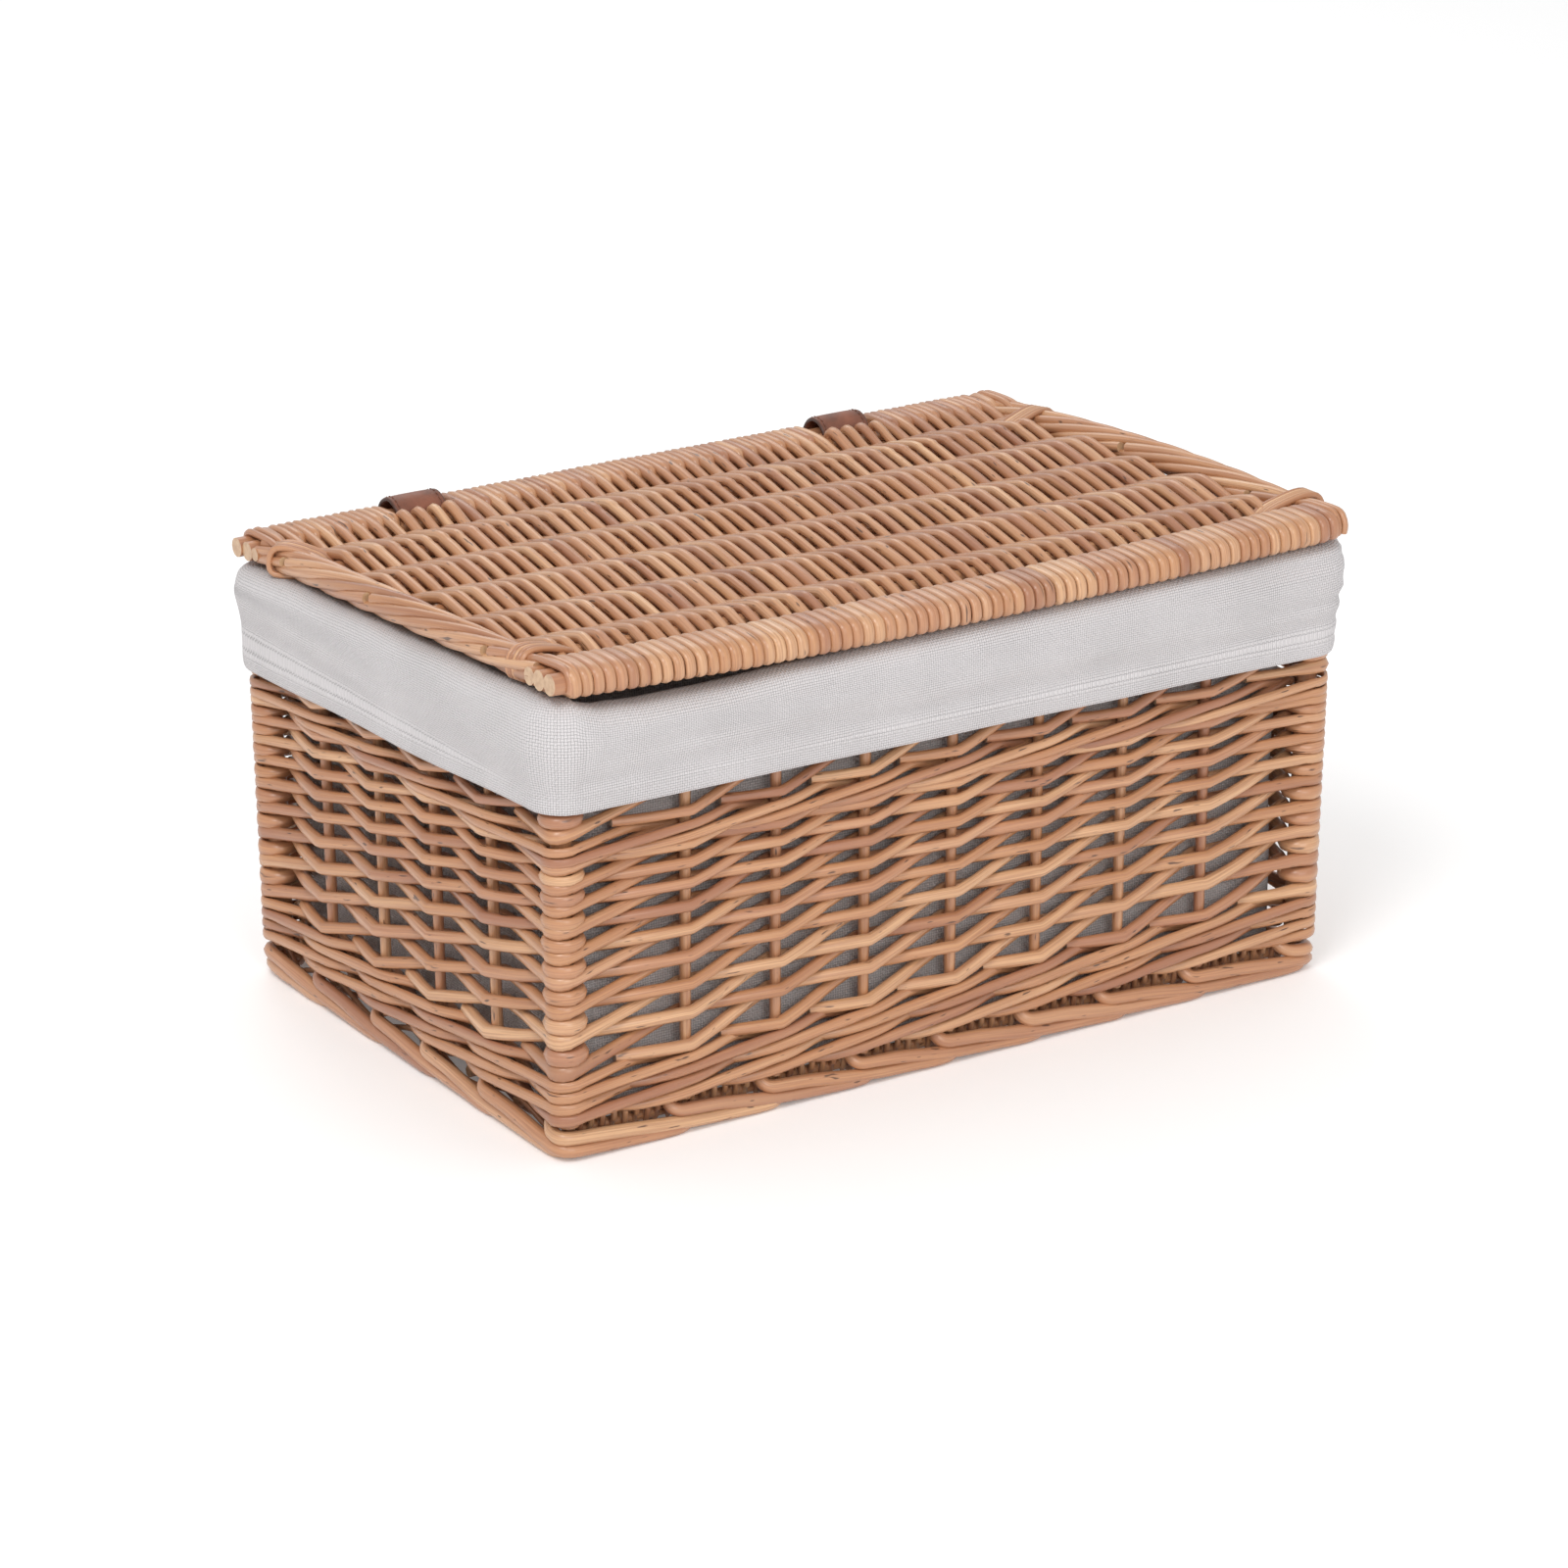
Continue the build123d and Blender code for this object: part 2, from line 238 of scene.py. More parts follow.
def rod_tree():
    """Turns lines into round rods, each with its own shade and a slight waver."""
    tree, given = new_tree("rods_along_lines", (
        ("Lines", "Geometry", None),
        ("Sides", "Int", 8),
        ("Smoothness", "Int", 2),
        ("Waver", "Float", 0.5 * MM),
        ("Stretch", "Float", 1.0),
        ("Seed", "Int", 1),
        ("Material", "Material", None),
    ))
    lines = node(tree, "GeometryNodeMeshToCurve", {"Mesh": given["Lines"]})
    smooth = node(tree, "GeometryNodeCurveSplineType", {"Curve": lines.outputs[0]},
                  spline_type="CATMULL_ROM")
    fine = node(tree, "GeometryNodeSetSplineResolution",
                {"Geometry": smooth.outputs[0], "Resolution": given["Smoothness"]})
    drift = node(tree, "ShaderNodeTexNoise", {"Scale": 34.0, "Detail": 1.0, "W": given["Seed"]},
                 noise_dimensions="4D")
    centred = node(tree, "ShaderNodeVectorMath", {0: drift.outputs["Color"], 1: (0.5, 0.5, 0.5)},
                   operation="SUBTRACT")
    offset = node(tree, "ShaderNodeVectorMath", {0: centred.outputs[0], "Scale": given["Waver"]},
                  operation="SCALE")
    moved = node(tree, "GeometryNodeSetPosition", {"Geometry": fine.outputs[0], "Offset": offset.outputs[0]})
    index = node(tree, "GeometryNodeInputIndex").outputs[0]
    chance = node(tree, "FunctionNodeRandomValue", {"ID": index, "Seed": given["Seed"]}, data_type="FLOAT")
    shaded = node(tree, "GeometryNodeStoreNamedAttribute",
                  {"Geometry": moved.outputs[0], "Name": "shade", "Value": chance.outputs[1]},
                  data_type="FLOAT", domain="CURVE")
    length = node(tree, "GeometryNodeSplineParameter").outputs["Length"]
    marked = node(tree, "GeometryNodeStoreNamedAttribute",
                  {"Geometry": shaded.outputs[0], "Name": "along", "Value": length},
                  data_type="FLOAT", domain="POINT")
    thickness = node(tree, "GeometryNodeInputNamedAttribute", {"Name": "thickness"}, data_type="FLOAT")
    lumps = node(tree, "ShaderNodeTexNoise", {"Scale": 60.0, "Detail": 1.0, "W": given["Seed"]},
                 noise_dimensions="4D")
    swell = maths(tree, "MULTIPLY_ADD", lumps.outputs[0], 0.16)
    swell.node.inputs[2].default_value = 0.42
    radius = maths(tree, "MULTIPLY", thickness.outputs["Attribute"], swell)
    circle = node(tree, "GeometryNodeCurvePrimitiveCircle",
                  {"Resolution": given["Sides"], "Radius": 1.0}, mode="RADIUS")
    ring = node(tree, "GeometryNodeStoreNamedAttribute",
                {"Geometry": circle.outputs[0], "Name": "ring",
                 "Value": node(tree, "GeometryNodeInputPosition").outputs[0]},
                data_type="FLOAT_VECTOR", domain="POINT")
    tube = node(tree, "GeometryNodeCurveToMesh",
                {"Curve": marked.outputs[0], "Profile Curve": ring.outputs[0], "Scale": radius,
                 "Fill Caps": True})
    scale = node(tree, "ShaderNodeCombineXYZ", {"X": given["Stretch"], "Y": 1.0, "Z": 1.0})
    wide = node(tree, "GeometryNodeTransform", {"Geometry": tube.outputs[0], "Scale": scale.outputs[0]})
    angle = node(tree, "GeometryNodeInputMeshEdgeAngle").outputs[0]
    rim = node(tree, "FunctionNodeCompare", {0: angle, 1: 1.1}, data_type="FLOAT", operation="GREATER_THAN")
    crisp = node(tree, "GeometryNodeSetShadeSmooth",
                 {"Geometry": wide.outputs[0], "Selection": rim.outputs[0], "Shade Smooth": False},
                 domain="EDGE")
    corners = node(tree, "GeometryNodeInputMeshFaceNeighbors").outputs["Vertex Count"]
    is_end = node(tree, "FunctionNodeCompare", {2: corners, 3: 4}, data_type="INT", operation="GREATER_THAN")
    cut = node(tree, "GeometryNodeStoreNamedAttribute",
               {"Geometry": crisp.outputs[0], "Name": "cut", "Value": is_end.outputs[0]},
               data_type="FLOAT", domain="FACE")
    return finish_tree(tree, cut.outputs[0], given["Material"])


def stitch_tree():
    """Lays short rounded stitches end to end along lines."""
    tree, given = new_tree("stitches_along_lines", (
        ("Lines", "Geometry", None),
        ("Spacing", "Float", 3 * MM),
        ("Length", "Float", 2 * MM),
        ("Thickness", "Float", 0.5 * MM),
        ("Material", "Material", None),
    ))
    lines = node(tree, "GeometryNodeMeshToCurve", {"Mesh": given["Lines"]})
    places = node(tree, "GeometryNodeCurveToPoints", {"Curve": lines.outputs[0], "Length": given["Spacing"]},
                  mode="LENGTH")
    grain = node(tree, "GeometryNodeMeshUVSphere", {"Segments": 6, "Rings": 4, "Radius": 0.5})
    smooth = node(tree, "GeometryNodeSetShadeSmooth", {"Geometry": grain.outputs[0]})
    size = node(tree, "ShaderNodeCombineXYZ",
                {"X": given["Thickness"], "Y": given["Thickness"], "Z": given["Length"]})
    turn = node(tree, "FunctionNodeAlignRotationToVector", {"Vector": places.outputs["Tangent"]}, axis="Z")
    stitches = node(tree, "GeometryNodeInstanceOnPoints",
                    {"Points": places.outputs["Points"], "Instance": smooth.outputs[0],
                     "Rotation": turn.outputs[0], "Scale": size.outputs[0]})
    return finish_tree(tree, stitches.outputs[0], given["Material"])


class Lines:
    """Centre lines, gathered as one mesh of edges with a thickness at each point."""

    def __init__(self):
        self.points = []
        self.edges = []
        self.thickness = []

    def add(self, points, thickness):
        first = len(self.points)
        self.points.extend(points)
        even = isinstance(thickness, float)
        self.thickness.extend([thickness] * len(points) if even else thickness)
        self.edges.extend((k, k + 1) for k in range(first, len(self.points) - 1))


def grow(name, lines, tree, values, body, nodes=()):
    """Runs a tree on lines, keeps the result as a plain mesh and puts it in the frame."""
    mesh = bpy.data.meshes.new(name + "_lines")
    mesh.from_pydata(lines.points, lines.edges, [])
    mesh.attributes.new("thickness", "FLOAT", "POINT").data.foreach_set("value", lines.thickness)
    source = bpy.data.objects.new(name + "_source", mesh)
    bpy.context.scene.collection.objects.link(source)
    modifier = source.modifiers.new("tree", "NODES")
    modifier.node_group = tree
    for item in tree.interface.items_tree:
        if item.in_out == "INPUT" and item.name in values:
            modifier[item.identifier] = values[item.name]
    graph = bpy.context.evaluated_depsgraph_get()
    made = bpy.data.meshes.new_from_object(
        source.evaluated_get(graph), preserve_all_data_layers=True, depsgraph=graph)
    bpy.data.objects.remove(source)
    if not made.polygons:
        raise RuntimeError(f"{name} came out empty")
    piece = bpy.data.objects.new(name, made)
    bpy.context.scene.collection.objects.link(piece)
    return settle(piece, body, nodes)


def settle(piece, body, nodes=()):
    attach(piece, body)
    if nodes:
        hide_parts(*nodes)
    return piece


def weave(name, lines, seed, body="basket", nodes=(), sides=8, smoothness=2, waver=None, stretch=1.0):
    """A piece made of willow rods along the given lines."""
    walls = bpy.context.scene.basket_walls
    values = {
        "Sides": sides, "Smoothness": smoothness, "Seed": seed, "Stretch": stretch,
        "Waver": walls.waver if waver is None else waver, "Material": finish("willow"),
    }
    return grow(name, lines, shared_tree("rods"), values, body, nodes)


TREES = {"rods": rod_tree, "stitches": stitch_tree}
made_trees = {}
made_finishes = {}


def shared_tree(name):
    if name not in made_trees:
        made_trees[name] = TREES[name]()
    return made_trees[name]


# Finishes

def finish(name):
    if name not in made_finishes:
        made_finishes[name] = FINISHES[name](bpy.context.scene.basket_finishes)
    return made_finishes[name]


def blank_finish(name):
    material = bpy.data.materials.new(name)
    material.use_nodes = True
    tree = material.node_tree
    return material, tree, tree.nodes["Principled BSDF"]


def attribute(tree, name):
    return node(tree, "ShaderNodeAttribute", attribute_name=name)


def ramp(tree, factor, stops):
    made = node(tree, "ShaderNodeValToRGB", {"Fac": factor})
    elements = made.color_ramp.elements
    while len(elements) < len(stops):
        elements.new(0.5)
    for element, (place, colour) in zip(elements, stops):
        element.position = place
        element.color = (*colour, 1) if len(colour) == 3 else colour
    return made.outputs["Color"]


def mixed(tree, factor, first, second, blend="MIX"):
    made = node(tree, "ShaderNodeMix", data_type="RGBA", blend_type=blend)
    for key, value in ((0, factor), (6, first), (7, second)):
        if isinstance(value, bpy.types.NodeSocket):
            tree.links.new(value, made.inputs[key])
        else:
            plain_colour = isinstance(value, tuple) and len(value) == 3
            made.inputs[key].default_value = (*value, 1) if plain_colour else value
    return made.outputs[2]


def grey(value):
    return (value, value, value)


def willow_finish(colours):
    """Peeled willow: a shade for each rod, long grain, small knots and bruises."""
    material, tree, shader = blank_finish("willow")
    shade = attribute(tree, "shade").outputs["Fac"]
    along = attribute(tree, "along").outputs["Fac"]
    ring = attribute(tree, "ring").outputs["Vector"]
    apart = maths(tree, "MULTIPLY", shade, 91.0)
    place = maths(tree, "ADD", along, apart)
    split = node(tree, "ShaderNodeSeparateXYZ", {0: ring})
    on_rod = node(tree, "ShaderNodeCombineXYZ", {
        "X": maths(tree, "MULTIPLY", split.outputs[0], 0.01),
        "Y": maths(tree, "MULTIPLY", split.outputs[1], 0.01),
        "Z": place,
    }).outputs[0]

    def streaks(length, round_it, detail=2.0):
        scaled = node(tree, "ShaderNodeMapping", {"Vector": on_rod, "Scale": (round_it, round_it, length)})
        return node(tree, "ShaderNodeTexNoise",
                    {"Vector": scaled.outputs[0], "Scale": 1.0, "Detail": detail}).outputs[0]

    tone = maths(tree, "ADD", shade, maths(tree, "MULTIPLY", streaks(14, 60), 0.9))
    tone = maths(tree, "SUBTRACT", tone, 0.45)
    base = ramp(tree, tone, (
        (0.0, colours.willow_dark[:]), (0.34, colours.willow[:]), (0.7, colours.willow[:]),
        (1.0, colours.willow_light[:])))
    pinkish = maths(tree, "FRACT", maths(tree, "MULTIPLY", shade, 7.3))
    tinted = mixed(tree, maths(tree, "MULTIPLY", pinkish, 0.5), base, (0.50, 0.24, 0.14))
    grain = streaks(26, 420, 3.0)
    grained = mixed(tree, ramp(tree, grain, ((0.36, grey(0.0)), (0.62, grey(0.55)))), tinted,
                    colours.willow_dark[:])
    lit = mixed(tree, ramp(tree, streaks(5, 30), ((0.52, grey(0.0)), (0.8, grey(0.5)))), grained,
                colours.willow_light[:])
    bruise = ramp(tree, streaks(115, 150, 1.0), ((0.7, grey(0.0)), (0.77, grey(0.85))))
    marked = mixed(tree, bruise, lit, colours.knot[:])
    pith = node(tree, "ShaderNodeTexNoise",
                {"Vector": node(tree, "ShaderNodeTexCoord").outputs["Object"], "Scale": 330.0}).outputs[0]
    end_grain = ramp(tree, pith, ((0.3, (0.46, 0.27, 0.15)), (0.6, (0.58, 0.38, 0.22))))
    coloured = mixed(tree, attribute(tree, "cut").outputs["Fac"], marked, end_grain)
    tree.links.new(coloured, shader.inputs["Base Color"])
    rough = node(tree, "ShaderNodeMapRange", {"Value": grain, "To Min": 0.28, "To Max": 0.46})
    tree.links.new(rough.outputs[0], shader.inputs["Roughness"])
    shader.inputs["Specular IOR Level"].default_value = 0.62
    shader.inputs["Coat Weight"].default_value = 0.3
    shader.inputs["Coat Roughness"].default_value = 0.24
    height = maths(tree, "SUBTRACT", grain, maths(tree, "MULTIPLY", bruise, 0.4))
    bump = node(tree, "ShaderNodeBump", {"Height": height, "Strength": 0.35, "Distance": 0.35 * MM})
    tree.links.new(bump.outputs[0], shader.inputs["Normal"])
    return material


def canvas_finish(colours, name="canvas"):
    """Plain-woven cotton canvas, on the cloth's own measure in metres."""
    material, tree, shader = blank_finish(name)
    colour = getattr(colours, name)[:]
    pitch = bpy.context.scene.basket_cloth.thread_pitch
    measure = node(tree, "ShaderNodeUVMap", uv_map="cloth").outputs[0]
    slub = node(tree, "ShaderNodeTexNoise", {"Vector": measure, "Scale": 260.0, "Detail": 2.0})
    spread = node(tree, "ShaderNodeVectorMath",
                  {0: slub.outputs["Color"], "Scale": 0.25 * MM}, operation="SCALE").outputs[0]
    wavy = node(tree, "ShaderNodeVectorMath", {0: measure, 1: spread}, operation="ADD").outputs[0]
    split = node(tree, "ShaderNodeSeparateXYZ", {0: wavy})
    across = maths(tree, "MULTIPLY", split.outputs[0], 1 / pitch)
    up = maths(tree, "MULTIPLY", split.outputs[1], 1 / pitch)
    warp = maths(tree, "ABSOLUTE", maths(tree, "SINE", maths(tree, "MULTIPLY", across, math.pi)))
    weft = maths(tree, "ABSOLUTE", maths(tree, "SINE", maths(tree, "MULTIPLY", up, math.pi)))
    over = maths(tree, "MULTIPLY", maths(tree, "FRACT", maths(tree, "MULTIPLY", maths(
        tree, "ADD", maths(tree, "FLOOR", across), maths(tree, "FLOOR", up)), 0.5)), 2.0)
    under = maths(tree, "SUBTRACT", 1.0, over)
    threads = maths(tree, "ADD", maths(tree, "MULTIPLY", warp, over), maths(tree, "MULTIPLY", weft, under))
    clouds = node(tree, "ShaderNodeTexNoise", {"Vector": measure, "Scale": 22.0, "Detail": 4.0}).outputs[0]
    tone = maths(tree, "ADD", maths(tree, "MULTIPLY", threads, 0.55), maths(tree, "MULTIPLY", clouds, 0.45))
    dim = tuple(0.55 * c for c in colour)
    base = ramp(tree, tone, ((0.3, dim), (0.58, colour), (1.0, colour)))
    tree.links.new(base, shader.inputs["Base Color"])
    shader.inputs["Roughness"].default_value = 0.92
    shader.inputs["Specular IOR Level"].default_value = 0.2
    shader.inputs["Sheen Weight"].default_value = 0.25
    bump = node(tree, "ShaderNodeBump", {"Height": threads, "Strength": 0.8, "Distance": 0.4 * MM})
    tree.links.new(bump.outputs[0], shader.inputs["Normal"])
    return material


def thread_finish(colours):
    material, tree, shader = blank_finish("sewing_thread")
    place = node(tree, "ShaderNodeTexCoord").outputs["Object"]
    twist = node(tree, "ShaderNodeTexWave", {"Vector": place, "Scale": 900.0, "Distortion": 2.0})
    base = mixed(tree, twist.outputs["Fac"], colours.thread[:], tuple(0.7 * c for c in colours.thread))
    tree.links.new(base, shader.inputs["Base Color"])
    shader.inputs["Roughness"].default_value = 0.8
    return material


def leather_finish(colours):
    """Oiled brown leather, darker and rubbed along its edges."""
    material, tree, shader = blank_finish("strap_leather")
    place = node(tree, "ShaderNodeTexCoord").outputs["Object"]
    edge = attribute(tree, "edge").outputs["Fac"]
    clouds = node(tree, "ShaderNodeTexNoise", {"Vector": place, "Scale": 70.0, "Detail": 5.0}).outputs[0]
    pores = node(tree, "ShaderNodeTexVoronoi", {"Vector": place, "Scale": 1500.0}).outputs["Distance"]
    creases = node(tree, "ShaderNodeTexNoise", {"Vector": place, "Scale": 420.0, "Detail": 6.0}).outputs[0]
    light = tuple(min(1.0, 1.75 * c) for c in colours.leather)
    base = ramp(tree, clouds, ((0.25, colours.leather_edge[:]), (0.5, colours.leather[:]), (0.85, light)))
    fade = ramp(tree, edge, ((0.0, grey(0.0)), (0.55, grey(0.15)), (1.0, grey(0.95))))
    coloured = mixed(tree, fade, base, colours.leather_edge[:])
    tree.links.new(coloured, shader.inputs["Base Color"])
    rough = node(tree, "ShaderNodeMapRange", {"Value": creases, "To Min": 0.36, "To Max": 0.62})
    tree.links.new(rough.outputs[0], shader.inputs["Roughness"])
    height = maths(tree, "ADD", creases, maths(tree, "MULTIPLY", pores, 0.5))
    bump = node(tree, "ShaderNodeBump", {"Height": height, "Strength": 0.4, "Distance": 0.25 * MM})
    tree.links.new(bump.outputs[0], shader.inputs["Normal"])
    return material


def floor_finish(colours):
    material, tree, shader = blank_finish("studio_floor")
    place = node(tree, "ShaderNodeTexCoord").outputs["Object"]
    soft = node(tree, "ShaderNodeTexNoise", {"Vector": place, "Scale": 3.0}).outputs[0]
    base = mixed(tree, soft, colours.floor[:], tuple(0.985 * c for c in colours.floor))
    tree.links.new(base, shader.inputs["Base Color"])
    shader.inputs["Roughness"].default_value = 0.7
    shader.inputs["Emission Color"].default_value = (1.0, 1.0, 1.0, 1)
    shader.inputs["Emission Strength"].default_value = 0.12
    return material


# The lining finish is the canvas finish in the lining colour, which is painted shade on the same cotton
def shaded_lining_finish(colours):
    return canvas_finish(colours, "lining")


FINISHES = {
    "willow": willow_finish, "canvas": canvas_finish, "lining": shaded_lining_finish, "thread": thread_finish,
    "leather": leather_finish, "floor": floor_finish,
}


# Shape of the walls

def leaning(axis, wale, rim):
    """A wall's half size at the floor and how far it leans out for each metre of height."""
    wale_low, wale_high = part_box(wale)
    rim_low, rim_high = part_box(rim)
    slope = (wale_low[axis] - rim_low[axis]) / (rim_high.z - wale_high.z)
    return -wale_low[axis] - slope * wale_high.z, slope


WIDTH = leaning(1, "bottom_wale_front", "rim_weave_front")
LENGTH = leaning(0, "bottom_wale_left", "rim_weave_left")


def out(side, z):
    """Distance from the middle of the basket to a wall's outer face."""
    foot, slope = WIDTH if side % 2 == 0 else LENGTH
    return foot + slope * z


def order_uprights():
    """Stakes and posts in order round the basket: (side, place along it), or None for the post at its end."""
    order = []
    for side, name in enumerate(SIDE_NAMES):
        low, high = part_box("stakes_" + name)
        reach = (high - low)[side % 2] / 2 - STAKE_RADIUS
        count = STAKE_COUNTS[side]
        order += [(side, reach * (2 * k / (count - 1) - 1)) for k in range(count)]
        order.append((side, None))
    return order


UPRIGHTS = order_uprights()
COUNT = len(UPRIGHTS)
ROUND_START = COUNT - 10                # a stake of the back wall, where the rounds of waling step up


def on_wall(side, along, depth, z):
    return ALONG[side] * along + OUTWARD[side] * (out(side, z) - depth) + UP * z


def post_centre(side, z):
    """Middle of the post between a side and the next one."""
    reach = out(side + 1, z) - POST_INSET
    return ALONG[side] * reach + OUTWARD[side] * (out(side, z) - POST_INSET) + UP * z


def past_post(post_side, wall_side, along, t, depth, z, sense):
    """A point t of the way from a stake to the outer middle of the post beside it."""
    centre = post_centre(post_side, z)
    radius = POST_INSET - depth
    outward = OUTWARD[wall_side]
    stake = on_wall(wall_side, along, depth, z)
    turn_start = centre + outward * radius
    run = (turn_start - stake).length
    distance = t * (run + radius * math.pi / 4)
    if distance <= run:
        return stake.lerp(turn_start, distance / run)
    angle = (distance - run) / radius
    return centre + (outward * math.cos(angle) + ALONG[wall_side] * (sense * math.sin(angle))) * radius


def outside(u, depth, z):
    """A point at a depth from the outer face, u counted in uprights round the basket."""
    place = math.floor(u)
    t = u - place
    side, along = UPRIGHTS[place % COUNT]
    next_side, next_along = UPRIGHTS[(place + 1) % COUNT]
    if along is None:
        return past_post(side, next_side, next_along, 1 - t, depth, z, -1)
    if next_along is None:
        return past_post(side, side, along, t, depth, z, 1)
    return on_wall(side, along + (next_along - along) * t, depth, z)


def behind(place, radius, z):
    """The middle of a rod that passes behind an upright."""
    side, along = UPRIGHTS[place % COUNT]
    if along is None:
        inward = (OUTWARD[side] + ALONG[side]).normalized()
        return post_centre(side, z) - inward * (POST_RADIUS + radius)
    return on_wall(side, along, STAKE_INSET + STAKE_RADIUS + radius, z)


def wall_point(u, share_behind, z, radius):
    """A rod's middle, from outside the uprights to behind them."""
    front = outside(u, radius, z)
    if share_behind <= 0:
        return front
    place = math.floor(u)
    back = behind(place, radius, z).lerp(behind(place + 1, radius, z), u - place)
    return front.lerp(back, share_behind)


STEPS = (0.0, 0.09, 0.24, 0.4, 0.56, 0.72, 0.87, 0.95)
BAND_DEPTH = 7 * MM                     # how far in from their face the corner bands are flattened
BAND_FILL = 0.53                        # thickness of a band on a corner post, as a share of the row
BAND_FLATNESS = 0.3                     # roundness left on the face of a band
RING_POINTS = 16                        # a little over one turn
RING_CLIMB = 1.2 * MM


def ease(t):
    return 0.5 - 0.5 * math.cos(math.pi * t)


def bend(t):
    """Nearly straight from one upright to the next, with a soft bend at each."""
    return 0.4 * ease(t) + 0.6 * t


def mix(a, b, t):
    return a + (b - a) * t


def row_heights(walls):
    """Heights of the side rows, each a little closer than the one below."""
    heights = [walls.first_row]
    for k in range(walls.row_count):
        heights.append(heights[-1] + walls.row_pitch * walls.row_shrink ** k)
    return heights


def at_post(u):
    """How near a place is to a corner post: 1 on it and 0 from a quarter of a space away."""
    nearest = round(u)
    if UPRIGHTS[nearest % COUNT][1] is not None:
        return 0.0
    return min(1.0, max(0.0, (0.27 - abs(u - nearest)) / 0.15))


def rand(lines, heights, butt, tip, chance):
    """A rod from every upright: in front of one, behind the next, and one row higher at each stroke."""
    for start in range(COUNT):
        bulk = chance.uniform(0.93, 1.06)
        lift = [chance.uniform(-0.45, 0.45) * MM for _ in heights]
        trail = []
        rows = len(heights) - 1
        for row in range(rows):
            place = start + 2 * row
            low = heights[row] + lift[row]
            high = heights[row + 1] + lift[row + 1]
            crossing = mix(low, high, 0.86)
            thickness = mix(butt, tip, row / (rows - 1)) * bulk
            if row == 0:
                trail += [(place - 1 + t, 1 - bend(t), low - 0.6 * MM * (1 - t), thickness)
                          for t in STEPS[3:]]
            trail += [(place + t, bend(t), mix(low, crossing, t), thickness) for t in STEPS]
            if row < rows - 1:
                trail += [(place + 1 + t, 1 - bend(t), mix(crossing, high, ease(t)), thickness)
                          for t in STEPS]
        wide = []
        for u, share, z, thickness in trail:
            row = min(range(rows), key=lambda k: abs(heights[k] - z))
            band = max(thickness, BAND_FILL * (heights[row + 1] - heights[row]))
            wide.append((u, share, z, mix(thickness, band, at_post(u) * (1 - share))))
        lines.add([wall_point(u, w, z, d / 2) for u, w, z, d in wide], [d for *_, d in wide])


def wale(lines, bottom, climb, rounds, thickness, chance):
    """Three rods, each in front of two uprights and behind the third, rising over its stroke."""
    for rod in range(3):
        trail = []
        bulk = chance.uniform(0.95, 1.05)
        for step in range(rounds * COUNT + 1):
            for t in STEPS:
                phase = step % 3 + t
                if phase < 1:
                    share = 1 - ease(phase)
                else:
                    share = ease(phase - 2) if phase > 2 else 0.0
                rise = (phase - 0.5) / 2 if 0.5 <= phase <= 2.5 else 1 - (phase - 2.5) % 3
                turns = (step + rod + t) / COUNT
                level = math.floor(turns) + max(0.0, turns % 1 - 0.92) / 0.08
                z = bottom + climb * (min(level, rounds - 1) + rise)
                trail.append((ROUND_START + rod + step + t, share, z))
        lines.add([wall_point(u, w, z, thickness * bulk / 2) for u, w, z in trail], thickness * bulk)


def post_rings(lines, rows, chance):
    """Short wraps that fill the corner posts between the passing strokes, each a height and a thickness."""
    for side in range(4):
        inward = -(OUTWARD[side] + ALONG[side]).normalized()
        across = UP.cross(inward)
        for z, thickness in rows:
            centre = post_centre(side, z + chance.uniform(-0.3, 0.3) * MM)
            radius = POST_INSET - thickness / 2
            turn = chance.uniform(-0.4, 0.4)
            points = []
            for k in range(RING_POINTS):
                angle = turn + math.tau * k / (RING_POINTS - 2)
                climb = (k / (RING_POINTS - 1) - 0.5) * RING_CLIMB
                round_post = inward * math.cos(angle) + across * math.sin(angle)
                points.append(centre + round_post * radius + UP * climb)
            lines.add(points, thickness)


def press(piece):
    """Flatten the bands of a piece where they pass round the corner posts."""
    corners = [(OUTWARD[side] + ALONG[side]).normalized() for side in range(4)]
    reach = POST_INSET + 1 * MM
    for vertex in piece.data.vertices:
        spot = vertex.co
        side = max(range(4), key=lambda k: corners[k].dot(spot))
        centre = post_centre(side, spot.z)
        flat = Vector((spot.x - centre.x, spot.y - centre.y, 0))
        radius = flat.length
        if not BAND_DEPTH / 2 < radius < reach:
            continue
        facing = min(1.0, max(0.0, (flat.dot(corners[side]) / radius - 0.45) / 0.25))
        depth = max(0.0, POST_INSET - radius)
        flattened = depth * mix(BAND_FLATNESS, 1.0, min(1.0, depth / BAND_DEPTH) ** 2)
        vertex.co = spot + flat / radius * (depth - flattened) * facing
    return piece


class SideWeave(bpy.types.Operator):
    """Weave the tapered rods of the four side walls, with short wraps round the corner posts"""

    bl_idname = "sewing_basket.side_weave"
    bl_label = "Side Weave"

    def execute(self, context):
        walls = context.scene.basket_walls
        chance = random.Random(11)
        lines = Lines()
        heights = row_heights(walls)
        rand(lines, heights, walls.weaver_butt, walls.weaver_tip, chance)
        press(weave("side_weave", lines, 3, nodes=["side_weave_" + s for s in SIDE_NAMES]))
        wraps = Lines()
        gaps = [(mix(a, b, 0.5), BAND_FILL * (b - a)) for a, b in zip(heights, heights[1:])][:-1]
        post_rings(wraps, gaps, chance)
        press(weave("corner_wraps", wraps, 5, waver=0.2 * MM))
        return {"FINISHED"}


